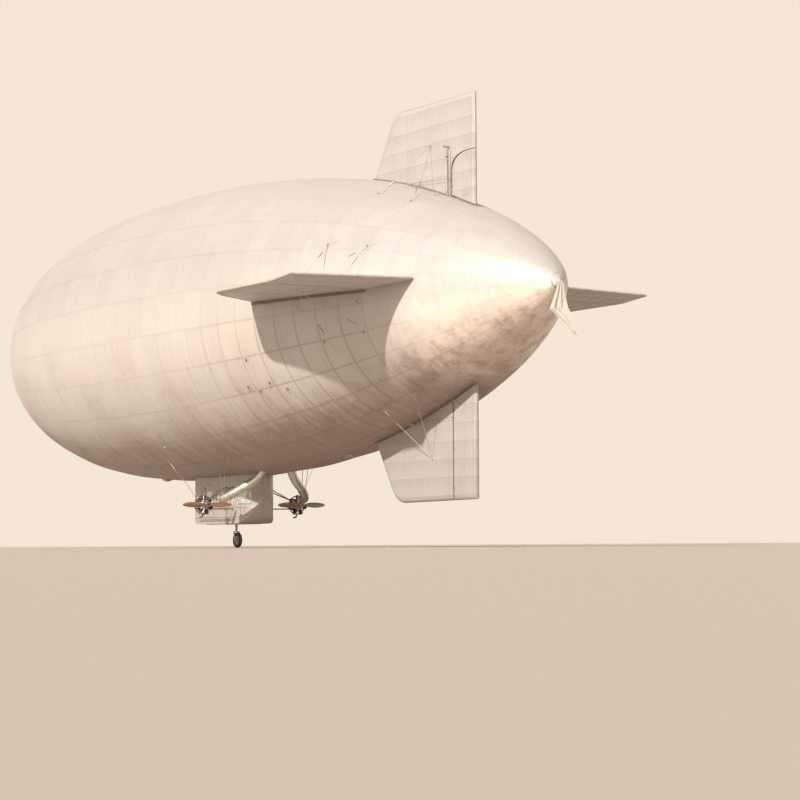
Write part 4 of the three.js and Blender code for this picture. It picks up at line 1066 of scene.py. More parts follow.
def makePost():
    gear, trunks, plates = newShapes(3)
    for side in (-1, 1):
        for shape, ends in ((trunks, post["trunk"]), (plates, post["plate"])):
            addBox(shape, *(onSide(side, end) for end in ends))
        for z, half in post["arms"]:
            for off, radius, thick in post["armRings"]:
                addRing(gear, shift(post["x"], side * (half - off), z) @ facingSide(-1), radius, thick, 24)
            addRing(gear, shift(post["x"], side * post["y"], z), *post["ring"], 20)
        for z in post["guides"]:
            addRing(gear, shift(post["x"], side * post["y"], z), *post["guide"], 20)
            addTube(gear, [(post["x"], side * y, z) for y in (post["y"], 0.074)], 0.011, 8)
    # painted shade: the trunk boards are painted a little darker than the fin to stand for the shade along the
    # rudder's hinge
    finishShape(trunks, "cableTrunksPaintedShade", "carPaint", bevel=0.012)
    finishShape(plates, "rudderPlates", "carPaint", "upper rudder", bevel=0.002)
    finishShape(gear, "cablePostFittings", "tubeSteel", bevel=0.002)
    print("cables and their post made")


# The limp pennant at the stern: one strip of cloth gathered on its rod, with loose folds
pennant = {
    "turn": -123.0, "behind": 0.09, "drop": -0.0165, "rows": 60, "columns": 28, "folds": 2.6, "depth": 0.045,
    # height below the rod, distance from it, for the two long edges
    "left": ((0, -0.10), (0.45, -0.22), (0.90, -0.38), (1.16, -0.12), (1.38, 0.10), (1.62, 0.28)),
    "right": ((0, 0.035), (0.32, 0.06), (0.87, 0.18), (1.35, 0.40), (1.62, 0.45), (1.78, 0.465)),
    "thick": 0.003, "hem": 0.007, "rings": (0.08, 0.35, 0.62, 0.89), "ringDown": 0.012, "ring": (0.022, 0.005),
}


def pennantPoint(u, v):
    left, right = (np.array(pennant[side]) for side in ("left", "right"))
    z = v * (left[-1, 0] + (right[-1, 0] - left[-1, 0]) * u)
    near, far = np.interp(z, left[:, 0], left[:, 1]), np.interp(z, right[:, 0], right[:, 1])
    fold = sin(pennant["folds"] * 2 * pi * (u + 0.10 * sin(3 * v))) * (0.35 + 0.65 * sin(pi * min(v, 0.93)))
    y = pennant["depth"] * fold + 0.03 * sin(4.2 * v + 0.6) * v
    place = shift(tail - pennant["behind"], 0, pennant["drop"]) @ spun(radians(pennant["turn"]), "Z")
    return place @ Vector((near + (far - near) * u, y, -z))


def makePennant():
    rows, columns = pennant["rows"], pennant["columns"]
    strip, hem = newShapes(2)
    addRows(strip, [[pennantPoint(k / columns, i / rows) for k in range(columns + 1)] for i in range(rows + 1)],
            loop=False)
    cloth = newObject("sternPennant", plainMesh("sternPennant", strip))
    cloth.data.shade_smooth()
    settle(cloth, "sternPennant", "pennantCloth", "airship", ["stern_pennant"])
    wall = cloth.modifiers.new("wall", "SOLIDIFY")
    wall.thickness, wall.offset = pennant["thick"], 0
    edge = [pennantPoint(0, t) for t in np.linspace(0, 1, 50)]
    edge += [pennantPoint(t, 1) for t in np.linspace(0, 1, 16)[1:]]
    edge += [pennantPoint(1, t) for t in np.linspace(1, 0, 50)[1:]]
    addTube(hem, edge, pennant["hem"], 6)
    for share in pennant["rings"]:
        place = shift(*pennantPoint(share, pennant["ringDown"])) @ spun(radians(pennant["turn"]), "Z")
        addRing(hem, place @ facingSide(-1), *pennant["ring"], 16, 6)
    piece = finishShape(hem, "pennantHem", "ropeFibre")
    print("pennant made")


# Car: outline of its sides at a height, then mouldings, rivets, frames and the seal to the hull
car = {
    "front": 3.9, "rear": -1.5, "noseStart": 2.7, "tailStart": -0.35, "half": 0.74, "rearHalf": 0.19,
    "bottom": -7.42, "chin": -6.78, "chinBulge": 3.65, "rake": 0.42, "rakeTall": 1.22,
    "heel": -6.55, "heelBulge": -1.15, "low": -6.72, "high": -6.08, "belts": (-7.17, -6.80, -5.97),
    "beltThick": 0.013, "beltLift": 0.004, "rivetOff": 0.035, "skid": (-0.3, 2.7, 0.45, 0.016),
    "windows": {1: ((-0.23, 0.48), (0.62, 1.33)), -1: ((-0.23, 0.48), (0.62, 1.33), (1.50, 2.33))},
    "door": (1.508, 2.292), "doorFrom": -7.1, "doorWindow": (1.61, 2.19), "tailWindow": (-1.15, -0.52, -6.66, -6.12),
    "panes": ((-78, -29), (-23, 23), (29, 78)), "raysFrom": 2.82, "frame": 0.013,
    # rows of rivets; starboard has a window where port has its third rib
    "ribs": {1: (-0.35, 0.55, 1.415), -1: (-0.35, 0.55)}, "ribTall": (-7.1, -5.72, 12),
    "tubRibs": (-1.0, -0.1, 0.9, 1.9, 2.65), "tubRibTall": (-7.36, -7.22, 4),
    "keelRows": (-0.6, -0.3, 0.0, 0.3, 0.6), "keelRow": (-0.3, 2.6, 10),
    "rivet": {"spacing": 0.06, "radius": 0.0065, "flatness": 0.45},
    "handle": ((0, 0), (0, 0.036), (0.006, 0.036), (0.010, 0.028), (0.012, 0.015), (0.04, 0.013), (0.042, 0)),
    "lever": ((1.555, 0.776, -6.87), (1.60, 0.782, -6.872), (1.66, 0.782, -6.876), (1.70, 0.777, -6.88)),
}


def arc(t, start, bulge, end):
    return (1 - t) ** 2 * start + 2 * t * (1 - t) * bulge + t * t * end


def carFrontX(z):
    if z < car["chin"]:
        t = sqrt(max(z - car["bottom"], 0) / (car["chin"] - car["bottom"]))
        return arc(t, car["noseStart"], car["chinBulge"], car["front"])
    return car["front"] - car["rake"] * min(z - car["chin"], car["rakeTall"]) / car["rakeTall"]


def carRearX(z):
    if z > car["heel"]:
        return car["rear"]
    t = sqrt(max(z - car["bottom"], 0) / (car["heel"] - car["bottom"]))
    return arc(t, car["tailStart"], car["heelBulge"], car["rear"])


def carHalf(x):
    if x > car["noseStart"]:
        return car["half"] * sqrt(max(1 - ((x - car["noseStart"]) / (car["front"] - car["noseStart"])) ** 2, 0))
    if x < car["tailStart"]:
        inward = 1 - (x - car["rear"]) / (car["tailStart"] - car["rear"])
        return car["half"] - (car["half"] - car["rearHalf"]) * inward ** 2
    return car["half"]


def carSideOut(x, side):
    slope = (carHalf(x + 0.004) - carHalf(x - 0.004)) / 0.008
    return Vector((-slope, side, 0)).normalized()


def carPoint(x, side, z, lift=0.0):
    return Vector((x, side * carHalf(x), z)) + carSideOut(x, side) * lift


def carRun(z, side, start, end, lift, steps=24):
    xs = np.linspace(start, end, steps)
    return [carPoint(x, side, z, lift) for x in xs], [carSideOut(x, side) for x in xs], False


def carWrap(z, lift):       # round the nose, from the front edge of one side to that of the other
    front = carFrontX(z) - 0.002
    half = carHalf(front) - 0.02
    out = Vector((1, 0, 0.25)).normalized()
    bow = [Vector((front, y, z)) + out * lift for y in np.linspace(half, -half, 9)]
    port, portOut, _ = carRun(z, 1, car["noseStart"], front, lift, 14)
    starboard, starboardOut = ([onSide(-1, p) for p in reversed(row)] for row in (port, portOut))
    return port + bow + starboard, portOut + [out] * len(bow) + starboardOut, False


def windowPath(side, x0, x1, low, high, lift=0.004, corner=0.05):
    path, full = [], []
    for cx, cz, start in ((x1 - corner, high - corner, 0), (x0 + corner, high - corner, 90),
                          (x0 + corner, low + corner, 180), (x1 - corner, low + corner, 270)):
        path += [(cx + corner * cos(a), cz + corner * sin(a)) for a in np.radians(np.linspace(start, start + 90, 6))]
    for (xa, za), (xb, zb) in zip(path, path[1:] + path[:1]):
        count = max(1, int(hypot(xb - xa, zb - za) / 0.09))
        full += [(xa + (xb - xa) * t / count, za + (zb - za) * t / count) for t in range(count)]
    return [carPoint(x, side, z, lift) for x, z in full]


def noseRay(angle, z, lift=0.004):      # where a level ray from inside the nose meets its glass
    a, limit = radians(angle), carFrontX(z)
    for t in np.linspace(0.05, 1.6, 1500):
        x, y = car["raysFrom"] + t * cos(a), t * sin(a)
        if x > limit or abs(y) > carHalf(min(x, car["front"] - 0.001)):
            break
    if x > limit:
        return Vector((limit, y, z)) + Vector((0.945, 0, 0.33)) * lift
    return Vector((x, y, z)) + carSideOut(x, 1 if a > 0 else -1) * lift


def panePath(start, end):
    low, high = car["low"], car["high"]
    path = [noseRay(a, low) for a in np.linspace(start, end, 14)]
    path += [noseRay(end, z) for z in np.linspace(low, high, 10)][1:]
    path += [noseRay(a, high) for a in np.linspace(end, start, 14)][1:]
    return path + [noseRay(start, z) for z in np.linspace(high, low, 10)][1:-1]


def makeCar():
    belts, frames, doorFrames, handle = newShapes(4)
    rivets, doorRivets = [], []
    low, high, thick, lift, front = (car[key] for key in ("low", "high", "beltThick", "beltLift", "noseStart"))
    doorStart, doorEnd = car["door"]
    for z in car["belts"]:
        rear, cut = carRearX(z) + 0.012, z > car["doorFrom"]        # the door cuts the upper two
        rows = (z - car["rivetOff"], z + car["rivetOff"])
        addTube(belts, carWrap(z, lift)[0], thick, 8)
        rivets += [carWrap(row, 0.0) for row in rows]
        for side in (-1, 1):
            spans = [(rear, doorStart - thick), (doorEnd + thick, front)] if side > 0 and cut else [(rear, front)]
            for start, end in spans:
                addTube(belts, carRun(z, side, start, end, lift, 40)[0], thick, 8)
                rivets += [carRun(row, side, start, end, 0.0, 40) for row in rows]
        if cut:
            addTube(doorFrames, carRun(z, 1, doorStart + 0.012, doorEnd - 0.012, lift)[0], thick, 8)
            doorRivets += [carRun(row, 1, doorStart + 0.02, doorEnd - 0.02, 0.0) for row in rows]
    for side, spans in car["windows"].items():
        for x0, x1 in spans:
            addTube(frames, windowPath(side, x0, x1, low, high), car["frame"], 8, ring=True)
            addTube(frames, [((x0 + x1) / 2, side * 0.715, z) for z in (low, high)], 0.011, 8)
        addTube(frames, windowPath(side, *car["tailWindow"]), car["frame"], 8, ring=True)
        for xs, tall in ((car["ribs"][side], car["ribTall"]), (car["tubRibs"], car["tubRibTall"])):
            for x in xs:
                run = [carPoint(x, side, z) for z in np.linspace(*tall)]
                rivets.append((run, [Vector((0, side, 0))] * len(run), False))
        start, end, off, radius = car["skid"]
        addTube(belts, [(x, side * off, car["bottom"] - lift) for x in np.linspace(start, end, 20)], radius, 8)
    addTube(doorFrames, windowPath(1, *car["doorWindow"], low, high), car["frame"], 8, ring=True)
    for start, end in car["panes"]:
        addTube(frames, panePath(start, end), car["frame"], 8, ring=True)
    for y in car["keelRows"]:
        run = [(x, y, car["bottom"]) for x in np.linspace(*car["keelRow"])]
        rivets.append((run, [(0, 0, -1)] * len(run), False))
    finishShape(belts, "carMouldings", "spunAluminium")
    finishShape(frames, "windowFrames", "spunAluminium")
    finishShape(doorFrames, "doorTrim", "spunAluminium", "car door")
    runTree("studs", rivets, "carRivets", "carPaint", "car_paint", **car["rivet"])
    runTree("studs", doorRivets, "doorRivets", "carPaint", "car_paint", "car door", **car["rivet"])
    keepNodes(["car_tub", "car_nose", "car_tail", "car_side_port", "car_side_starboard", "door"], "carPaint", 0.003)
    keepNodes(["car_roof"], "cabinLining", 0.002)
    keepNodes([name for name in nodes if name.startswith("window") or name == "windscreen"], "windowGlass", 0.0, 30)
    keepNodes(["hand_rail_port", "hand_rail_starboard", "outrigger_port", "outrigger_starboard"], "tubeSteel", 0.002)
    addDrum(handle, shift(1.565, 0.74, -6.87) @ facingSide(1), car["handle"], 20)
    addTube(handle, car["lever"], [0.012, 0.011, 0.009, 0.007], 10)
    finishShape(handle, "doorHandle", "brass", "car door")
    print("car trimmed")


# Fabric seal between the car's top edge and the hull
seal = {
    "front": 3.47, "bow": 0.5, "stern": 0.15, "off": 0.055, "grown": 0.05, "strip": {"width": 0.15, "thick": 0.006},
    "eyelets": {"spacing": 0.11, "radius": 0.011, "flatness": 0.5},
}


def makeSeal():
    port = [carPoint(x, 1, 0, seal["off"]) for x in np.linspace(car["rear"] + 0.01, seal["front"], 60)]
    ring = port + [Vector((seal["front"] + seal["off"], y, 0)) for y in np.linspace(seal["bow"], -seal["bow"], 9)]
    ring += [onSide(-1, p) for p in reversed(port)]
    ring += [Vector((car["rear"] - seal["off"], y, 0)) for y in np.linspace(-seal["stern"], seal["stern"], 5)]
    grown = [p + (p - Vector((1.0, 0, 0))).normalized() * seal["grown"] for p in ring]

    def onBelly(points, lift):
        xs, ys, _ = np.array(points).T
        return [hullLine(xs, -np.arccos(np.clip(ys / hullRadius(xs), -1, 1)), lift, True)]

    runTree("tapes", onBelly(ring, 0.004), "sealStrip", "dopedTape", "doped_hull", **seal["strip"])
    runTree("studs", onBelly(grown, 0.008), "sealEyelets", "brass", "steel", **seal["eyelets"])


# Seats: tube frames with leather pads
seats = {
    "floor": -7.3897, "deep": 0.23, "pad": (0.385, 0.49), "back": (0.50, 0.95), "backThick": 0.08,
    "seam": 0.005, "square": 5.0, "steps": 22, "crown": 0.16, "tuft": 0.32, "tuftWide": 0.0012,
    "tube": 0.013, "leg": 0.016, "brace": 0.009, "foot": 0.03, "inset": 0.04, "legReach": 0.19,
    "legTop": 0.37, "railTall": 0.372, "braceTall": 0.13, "backRail": 0.80,
    # node, x, y, width, tufts along and across the seat
    "places": (("seat_pilot", 2.35, 0.34, 0.46, (2, 2)), ("seat_mate", 2.35, -0.30, 0.46, (2, 2)),
               ("bench", 0.15, 0.0, 1.15, (2, 5))),
}


def addPad(shape, seams, low, high, tufts, thin):       # thin is the axis that the pad is flat along
    low, high, power = Vector(low), Vector(high), seats["square"]
    middle, half = (low + high) / 2, (high - low) / 2
    wide = [k for k in range(3) if k != thin]
    rows, columns = ([(2 * i + 1) / count - 1 for i in range(count)] for count in tufts)

    def padPoint(spot):
        d = Vector(spot) / sum(abs(c) ** power for c in spot) ** (1 / power)
        u, v = d[wide[0]], d[wide[1]]
        dent = 0.0
        for tu in rows:
            for tv in columns:
                gap = ((u - tu) * half[wide[0]]) ** 2 + ((v - tv) * half[wide[1]]) ** 2
                dent += seats["tuft"] * exp(-gap / seats["tuftWide"])
        d[thin] *= (1 - seats["crown"] * (u * u + v * v)) * (1 - min(dent, 0.5))
        return middle + Vector(a * b for a, b in zip(d, half))

    marks = np.linspace(-1, 1, seats["steps"] + 1)
    for axis in range(3):
        for sign in (-1, 1):
            addRows(shape, [[padPoint(np.roll((sign, a, b), axis)) for b in marks] for a in marks], loop=False)
    ring = []
    for c, s in circle(72):
        size = (abs(c) ** power + abs(s) ** power) ** (1 / power)
        spot = [0.0, 0.0, 0.0]
        spot[wide[0]], spot[wide[1]] = c / size * half[wide[0]], s / size * half[wide[1]]
        ring.append(middle + Vector(spot))
    addTube(seams, ring, seats["seam"], 6, ring=True)


def makeSeats():
    z0, deep, reach, tube, tall = (seats[key] for key in ("floor", "deep", "legReach", "tube", "railTall"))
    for name, x, y, width, tufts in seats["places"]:
        pads, seams, tubes = newShapes(3)
        piece, left, right = name.replace("seat_", ""), y - width / 2, y + width / 2
        low, high = (z0 + z for z in seats["pad"])
        addPad(pads, seams, (x - deep, left, low), (x + deep, right, high), tufts, 2)
        low, high = (z0 + z for z in seats["back"])
        back = x - deep - seats["backThick"]
        addPad(pads, seams, (back, left, low), (x - deep, right, high), (tufts[1], 2), 0)
        cushions = finishShape(pads, piece + "Cushions", "seatLeather", replaces=[name], angle=80)
        left, right, upright = left + seats["inset"], right - seats["inset"], back - 0.016
        for yy in (left, right):
            for xx in (x - reach, x + reach):
                addTube(tubes, [(xx, yy, z0 + 0.002), (xx, yy, z0 + seats["legTop"])], seats["leg"], 12)
                addTube(tubes, [(xx, yy, z0 + 0.001), (xx, yy, z0 + 0.010)], seats["foot"], 16)
            addTube(tubes, [(x + 0.21, yy, z0 + tall), (x - 0.21, yy, z0 + tall), (back - 0.012, yy, z0 + 0.40),
                            (upright, yy, z0 + 0.65), (upright, yy, z0 + 0.93)], tube, 10)
        bars = [(x + dx, z, radius) for z, radius in ((tall, tube), (seats["braceTall"], seats["brace"]))
                for dx in (-reach, reach)]
        for xx, z, radius in [*bars, (upright, seats["backRail"], tube)]:
            addTube(tubes, [(xx, left, z0 + z), (xx, right, z0 + z)], radius, 10)
        finishShape(tubes, piece + "Frame", "tubeSteel")
        finishShape(seams, piece + "Piping", "ropeFibre")
    print("seal and seats made")


# Cockpit: dials, hand wheel, pedals, floor slats
cockpit = {
    "board": 3.02,
    # dials: height, radius, places across; profiles: height, share of the radius
    "dials": ((-6.83, 0.052, (-0.33, -0.20, -0.07, 0.07, 0.20, 0.33)),
              (-6.925, 0.026, (-0.27, -0.14, 0.0, 0.14, 0.27))),
    "rim": ((-0.002, 0.9), (0.0, 1), (0.012, 1), (0.014, 0.92), (0.006, 0.86), (-0.002, 0.86), (-0.002, 0.9)),
    "face": ((-0.001, 0), (-0.001, 0.88), (0.004, 0.88), (0.004, 0)),
    "pointer": (0.7, 0.007, 0.0016), "pointerTurn": (0.7, 0.9),      # share of the radius, height, thickness
    "slats": 15, "slatReach": 0.63, "slatHalf": 0.034, "slatFrom": -0.25, "slatTo": 2.62, "slatThick": (0.001, 0.013),
    "pedals": (0.22, 0.46), "pedalArm": ((2.95, 0, 0.02), (2.90, 0, 0.20)), "pedalThick": 0.010,
    "pedalPad": ((2.885, -0.05, 0.17), (2.90, 0.05, 0.25)),
    "wheel": (2.54, -0.58, 0.62), "wheelRadius": 0.29, "wheelRim": 0.0175,
    "grip": ((0.285, 0.020), (0.305, 0.019), (0.312, 0.012)),
}


def makeCockpit():
    rims, faces, slats, pedals, grips = newShapes(5)
    dials = [(y, z, radius) for z, radius, places in cockpit["dials"] for y in places]
    for k, (y, z, r) in enumerate(dials):
        base = facingX(cockpit["board"], y, z, -1)
        for shape, key in ((rims, "rim"), (faces, "face")):
            addDrum(shape, base, [(height, r * share) for height, share in cockpit[key]], 28)
        a = cockpit["pointerTurn"][0] + cockpit["pointerTurn"][1] * k       # each pointer stands its own way
        share, height, thick = cockpit["pointer"]
        tip = (r * share * cos(a), r * share * sin(a), height)
        addTube(rims, moved(base, [(0, 0, height), tip]), thick, 6)
    finishShape(rims, "dialRims", "brass")
    finishShape(faces, "dialFaces", "dialFace")
    ground, half = seats["floor"], cockpit["slatHalf"]
    low, high = (ground + z for z in cockpit["slatThick"])
    for y in np.linspace(-cockpit["slatReach"], cockpit["slatReach"], cockpit["slats"]):
        addBox(slats, (cockpit["slatFrom"], y - half, low), (cockpit["slatTo"], y + half, high))
    finishShape(slats, "floorSlats", "sprucePole", bevel=0.002)
    for y in cockpit["pedals"]:
        addTube(pedals, moved(shift(0, y, ground), cockpit["pedalArm"]), cockpit["pedalThick"], 8)
        addBox(pedals, *cockpit["pedalPad"], shift(0, y, ground))
    finishShape(pedals, "rudderPedals", "tubeSteel", bevel=0.003)
    x, y, z = cockpit["wheel"]
    for c, s in circle(6):
        path = [(x + r * c, y, ground + z + r * s) for r, _ in cockpit["grip"]]
        addTube(grips, path, [thick for _, thick in cockpit["grip"]], 10)
    addRing(grips, shift(x, y, ground + z) @ facingSide(-1), cockpit["wheelRadius"], cockpit["wheelRim"], 60, 12)
    finishShape(grips, "handWheelRim", "panelWood")
    keepNodes(["elevator_wheel", "instrument_board"], "panelWood", 0.003)
    print("cockpit fitted")


# Engines: crankcase, finned barrels, heads, pipes; built in the engine's own frame for both sides
engine = {
    "x": -0.25, "y": 2.05, "z": -6.70, "cylinders": 7,
    "barrels": {"cylinders": 7, "fins": 13, "low": 0.188, "pitch": 0.0125, "radius": 0.076},
    # profiles: distance along the shaft or the cylinder, radius
    "case": ((-0.19, 0.0), (-0.19, 0.068), (-0.17, 0.078), (-0.15, 0.12), (-0.135, 0.14), (-0.08, 0.158),
             (-0.07, 0.169), (0.07, 0.169), (0.08, 0.158), (0.12, 0.15), (0.138, 0.13), (0.14, 0.0)),
    "foot": ((0.150, 0), (0.150, 0.088), (0.180, 0.088), (0.183, 0.082), (0.183, 0)),
    "footBolt": ((0, 0), (0, 0.006), (0.006, 0.006), (0.007, 0)), "footBolts": 8, "footBoltRing": 0.080,
    "head": ((0.346, 0), (0.346, 0.066), (0.352, 0.072), (0.372, 0.070), (0.384, 0.055), (0.390, 0.030), (0.391, 0)),
    "plug": ((0, 0), (0, 0.011), (0.012, 0.011), (0.013, 0.007), (0.040, 0.006), (0.041, 0)),
    "cap": ((-0.01, 0), (-0.01, 0.035), (0.012, 0.035), (0.014, 0.028), (0.030, 0.028), (0.033, 0.02), (0.034, 0)),
    "tank": ((0.1636, 0.0), (0.1636, 0.168), (0.168, 0.175), (0.32, 0.185), (0.40, 0.178), (0.49, 0.142),
             (0.56, 0.095), (0.61, 0.062), (0.63, 0.03), (0.6336, 0.0)),
    "straps": (0.23, 0.38), "strap": ((-0.014, -0.004), (-0.014, 0.003), (0.014, 0.003), (0.014, -0.004)),
    # push rods: foot and head, each along the shaft, across and out
    "rods": (((0.112, 0.018, 0.150), (0.042, 0.014, 0.376)), ((0.098, -0.018, 0.150), (-0.042, -0.014, 0.376))),
    "rocker": ((-0.019, -0.026, 0.374), (0.019, 0.026, 0.3985)),
    "port": ((0.030, 0.0, 0.362), (0.052, 0, 0.362), (0.066, 0, 0.352)),
    "intake": ((-0.115, 0.045, 0.145), (-0.108, 0.05, 0.20), (-0.098, 0.045, 0.28), (-0.085, 0.03, 0.345),
               (-0.055, 0.0, 0.362)),
    "plugPlace": (0, 0.066, 0.362), "plugTurn": pi / 2.4, "plugTip": (0, 0, 0.038),
    "leadEnd": (0.122, 0.05, 0.20), "leadSag": (0.045, 0.02, 0.01), "capPlace": (0.30, 0, 0.180),
    "mount": ((-0.125, 0.07, 0.10), (-0.185, 0.07, 0.115)),
    # rings: distance along the shaft, radius, thickness
    "exhaust": (0.072, 0.345, 0.0235), "leadRing": (0.122, 0.205, 0.010),
    # point, radius
    "outlet": (((0.072, 0.0, -0.352), 0.026), ((0.085, 0.0, -0.41), 0.028), ((0.13, 0, -0.455), 0.030),
               ((0.21, 0, -0.475), 0.030), ((0.33, 0.0, -0.48), 0.030)),
    # the port side's fuel pipe
    "fuel": ((0.20, -0.10, -0.15), (0.17, -0.13, -0.20), (0.16, -0.26, -0.16), (0.17, -0.6, 0.05)),
    # wires of the port side: where each starts on the engine, x and turn on the hull
    "wires": (((0.15, 0.16, 0.19), 1.35, -60.0), ((0.15, 0.19, 0.16), 0.35, -53.0)), "screw": (0.12, 0.26),
    "wireEye": ((0, 0), (0, 0.05), (0.012, 0.05), (0.014, 0.018), (0.03, 0.016), (0.031, 0)),
    "thick": {"rod": 0.0075, "port": 0.021, "intake": 0.0155, "lead": 0.0042, "mount": 0.028, "fuel": 0.008,
              "wire": 0.006, "screw": 0.014},
}


def addCylinder(spoke, cases, iron, pipes, bright, leads):      # Z of the spoke runs out, X along the shaft
    thick = engine["thick"]
    addDrum(cases, spoke, engine["foot"], 28)
    addDrum(iron, spoke, engine["head"], 28)
    for j in range(engine["footBolts"]):
        a, ring = 2 * pi * (j + 0.5) / engine["footBolts"], engine["footBoltRing"]
        addDrum(bright, spoke @ shift(ring * cos(a), ring * sin(a), 0.183), engine["footBolt"], 6)
    for rod in engine["rods"]:
        addBox(cases, *engine["rocker"], spoke @ shift(rod[1][0]))
        addTube(bright, moved(spoke, rod), thick["rod"], 10)
    addTube(pipes, moved(spoke, engine["port"]), thick["port"], 12)
    addTube(bright, moved(spoke, engine["intake"]), thick["intake"], 12)
    for side in (-1, 1):
        plug = spoke @ shift(*onSide(side, engine["plugPlace"])) @ spun(-side * engine["plugTurn"], "X")
        addDrum(bright, plug, engine["plug"], 10)
        start, end = plug @ Vector(engine["plugTip"]), spoke @ onSide(side, engine["leadEnd"])
        bend = (start + end) / 2 + spoke.to_3x3() @ onSide(side, engine["leadSag"])
        addTube(leads, [arc(t, start, bend, end) for t in np.linspace(0, 1, 10)], thick["lead"], 6)


def makeEngines():
    cases, iron, pipes, tanks, bright, leads, wires, eyes = newShapes(8)
    thick = engine["thick"]
    for side in (-1, 1):
        base = shift(engine["x"], side * engine["y"], engine["z"])
        shaft = base @ facingX()
        addDrum(cases, shaft, engine["case"], 56)
        for k in range(engine["cylinders"]):
            addCylinder(base @ spun(2 * pi * k / engine["cylinders"], "X"), cases, iron, pipes, bright, leads)
        for shape, key, steps, sides in ((pipes, "exhaust", 96, 14), (leads, "leadRing", 64, 10)):
            x, *ring = engine[key]
            addRing(shape, base @ facingX(x), *ring, steps, sides)
        addTube(pipes, moved(base, [p for p, _ in engine["outlet"]]), [r for _, r in engine["outlet"]], 16)
        for way in (-1, 1):
            addTube(cases, moved(base, [onSide(way, p) for p in engine["mount"]]), thick["mount"], 14)
        addDrum(tanks, shaft, engine["tank"], 60)
        for x in engine["straps"]:
            radius = float(np.interp(x, *zip(*engine["tank"])))
            addDrum(bright, shaft, [(x + z, radius + r) for z, r in engine["strap"]], 56)
        addDrum(bright, base @ shift(*engine["capPlace"]), engine["cap"], 20)
        addTube(bright, moved(base, [onSide(side, p) for p in engine["fuel"]]), thick["fuel"], 8)
        for foot, hullX, hullTurn in engine["wires"]:
            turn = hullTurn if side > 0 else -180 - hullTurn
            start, end = base @ onSide(side, foot), hullFrame(hullX, turn, 0.015).translation
            addTube(wires, [start, end], thick["wire"], 6)
            addTube(wires, [end.lerp(start, share) for share in engine["screw"]], thick["screw"], 8)
            addDrum(eyes, hullFrame(hullX, turn), engine["wireEye"], 18)
    finishShape(cases, "engineCases", "castCase", replaces=["engine_port", "engine_starboard"],
                bevel=0.0015)
    finishShape(iron, "engineHeads", "barrelIron")
    finishShape(pipes, "exhaustRings", "exhaustSteel")
    finishShape(bright, "engineBrightwork", "spunAluminium")
    finishShape(leads, "sparkLeads", "tyreRubber")
    finishShape(tanks, "engineTanks", "spunAluminium",
                replaces=["engine_tank_port", "engine_tank_starboard"])
    spots = [([(engine["x"], side * engine["y"], engine["z"])], [(0, 0, 1)], False) for side in (-1, 1)]
    runTree("barrels", spots, "engineBarrels", "barrelIron", "engine_iron", **engine["barrels"])
    finishShape(wires, "outriggerWires", "tubeSteel")
    finishShape(eyes, "outriggerWireEyes", "castCase")
    print("engines built")


# Wooden propellers with metal tipping, each on its own body
blade = {
    "radius": 1.05, "chord": 0.2, "thick": 0.034, "pitch": 1.3, "root": 0.03, "plane": -0.33,
    "steps": 46, "around": 28, "rootHalf": 0.050, "rootEnd": 0.30, "tipFrom": 0.55, "tipAcross": 9,
    "tipProud": 0.0012, "tipSunk": -0.0010,
    "bore": 0.0309, "hub": 0.105, "hubHalf": 0.062, "hubEdge": 0.008, "plate": 0.095, "plateThick": 0.008,
    "bolts": 8, "boltRing": 0.078,
    # profiles: distance along the shaft, radius
    "bolt": ((0, 0), (0, 0.010), (0.008, 0.010), (0.0085, 0.006), (0.014, 0.006), (0.0145, 0)),
    "shaft": ((-0.185, 0.0), (-0.185, 0.03), (-0.432, 0.03), (-0.432, 0.0)),
    "nut": ((-0.432, 0), (-0.432, 0.047), (-0.429, 0.052), (-0.409, 0.052), (-0.406, 0.047), (-0.406, 0)),
}


def bladeRow(y, angles, grow=0.0):      # the blade's section at a distance from the hub
    reach = y / blade["radius"]
    taper = 1 - 4 * max(reach - 0.88, 0)
    if reach > 0.97:
        taper *= sqrt(max(1 - ((reach - 0.97) / 0.031) ** 2, 0.02))
    swell = sin(pi * 0.95 * min(reach, 1.0)) ** 1.2
    broad = blade["chord"] / 2 * (0.5 + 0.62 * swell) * taper + grow
    thick = blade["thick"] / 2 * (2.3 - 2 * reach) * (1.0 if reach < 0.97 else max(taper / 0.64, 0.25)) + grow
    near = min(max((blade["rootEnd"] - y) / (blade["rootEnd"] - blade["hub"]), 0.0), 1.0)
    thick += (blade["rootHalf"] - thick) * near * near * (3 - 2 * near)
    angle = atan2(blade["pitch"], 2 * pi * max(y, 0.15))
    c, s = cos(angle), sin(angle)
    spots = [(broad * cos(a), thick * sin(a)) for a in angles]
    return [Vector((v * c - u * s, y, u * c + v * s)) for u, v in spots]


def tippingRow(y):      # metal over the leading edge: out along its face, back inside the wood
    share = (y / blade["radius"] - blade["tipFrom"]) / (1 - blade["tipFrom"])
    angles = np.linspace(-1, 1, blade["tipAcross"]) * 0.55 * (1 + share)
    return bladeRow(y, angles, blade["tipProud"]) + bladeRow(y, -angles, blade["tipSunk"])


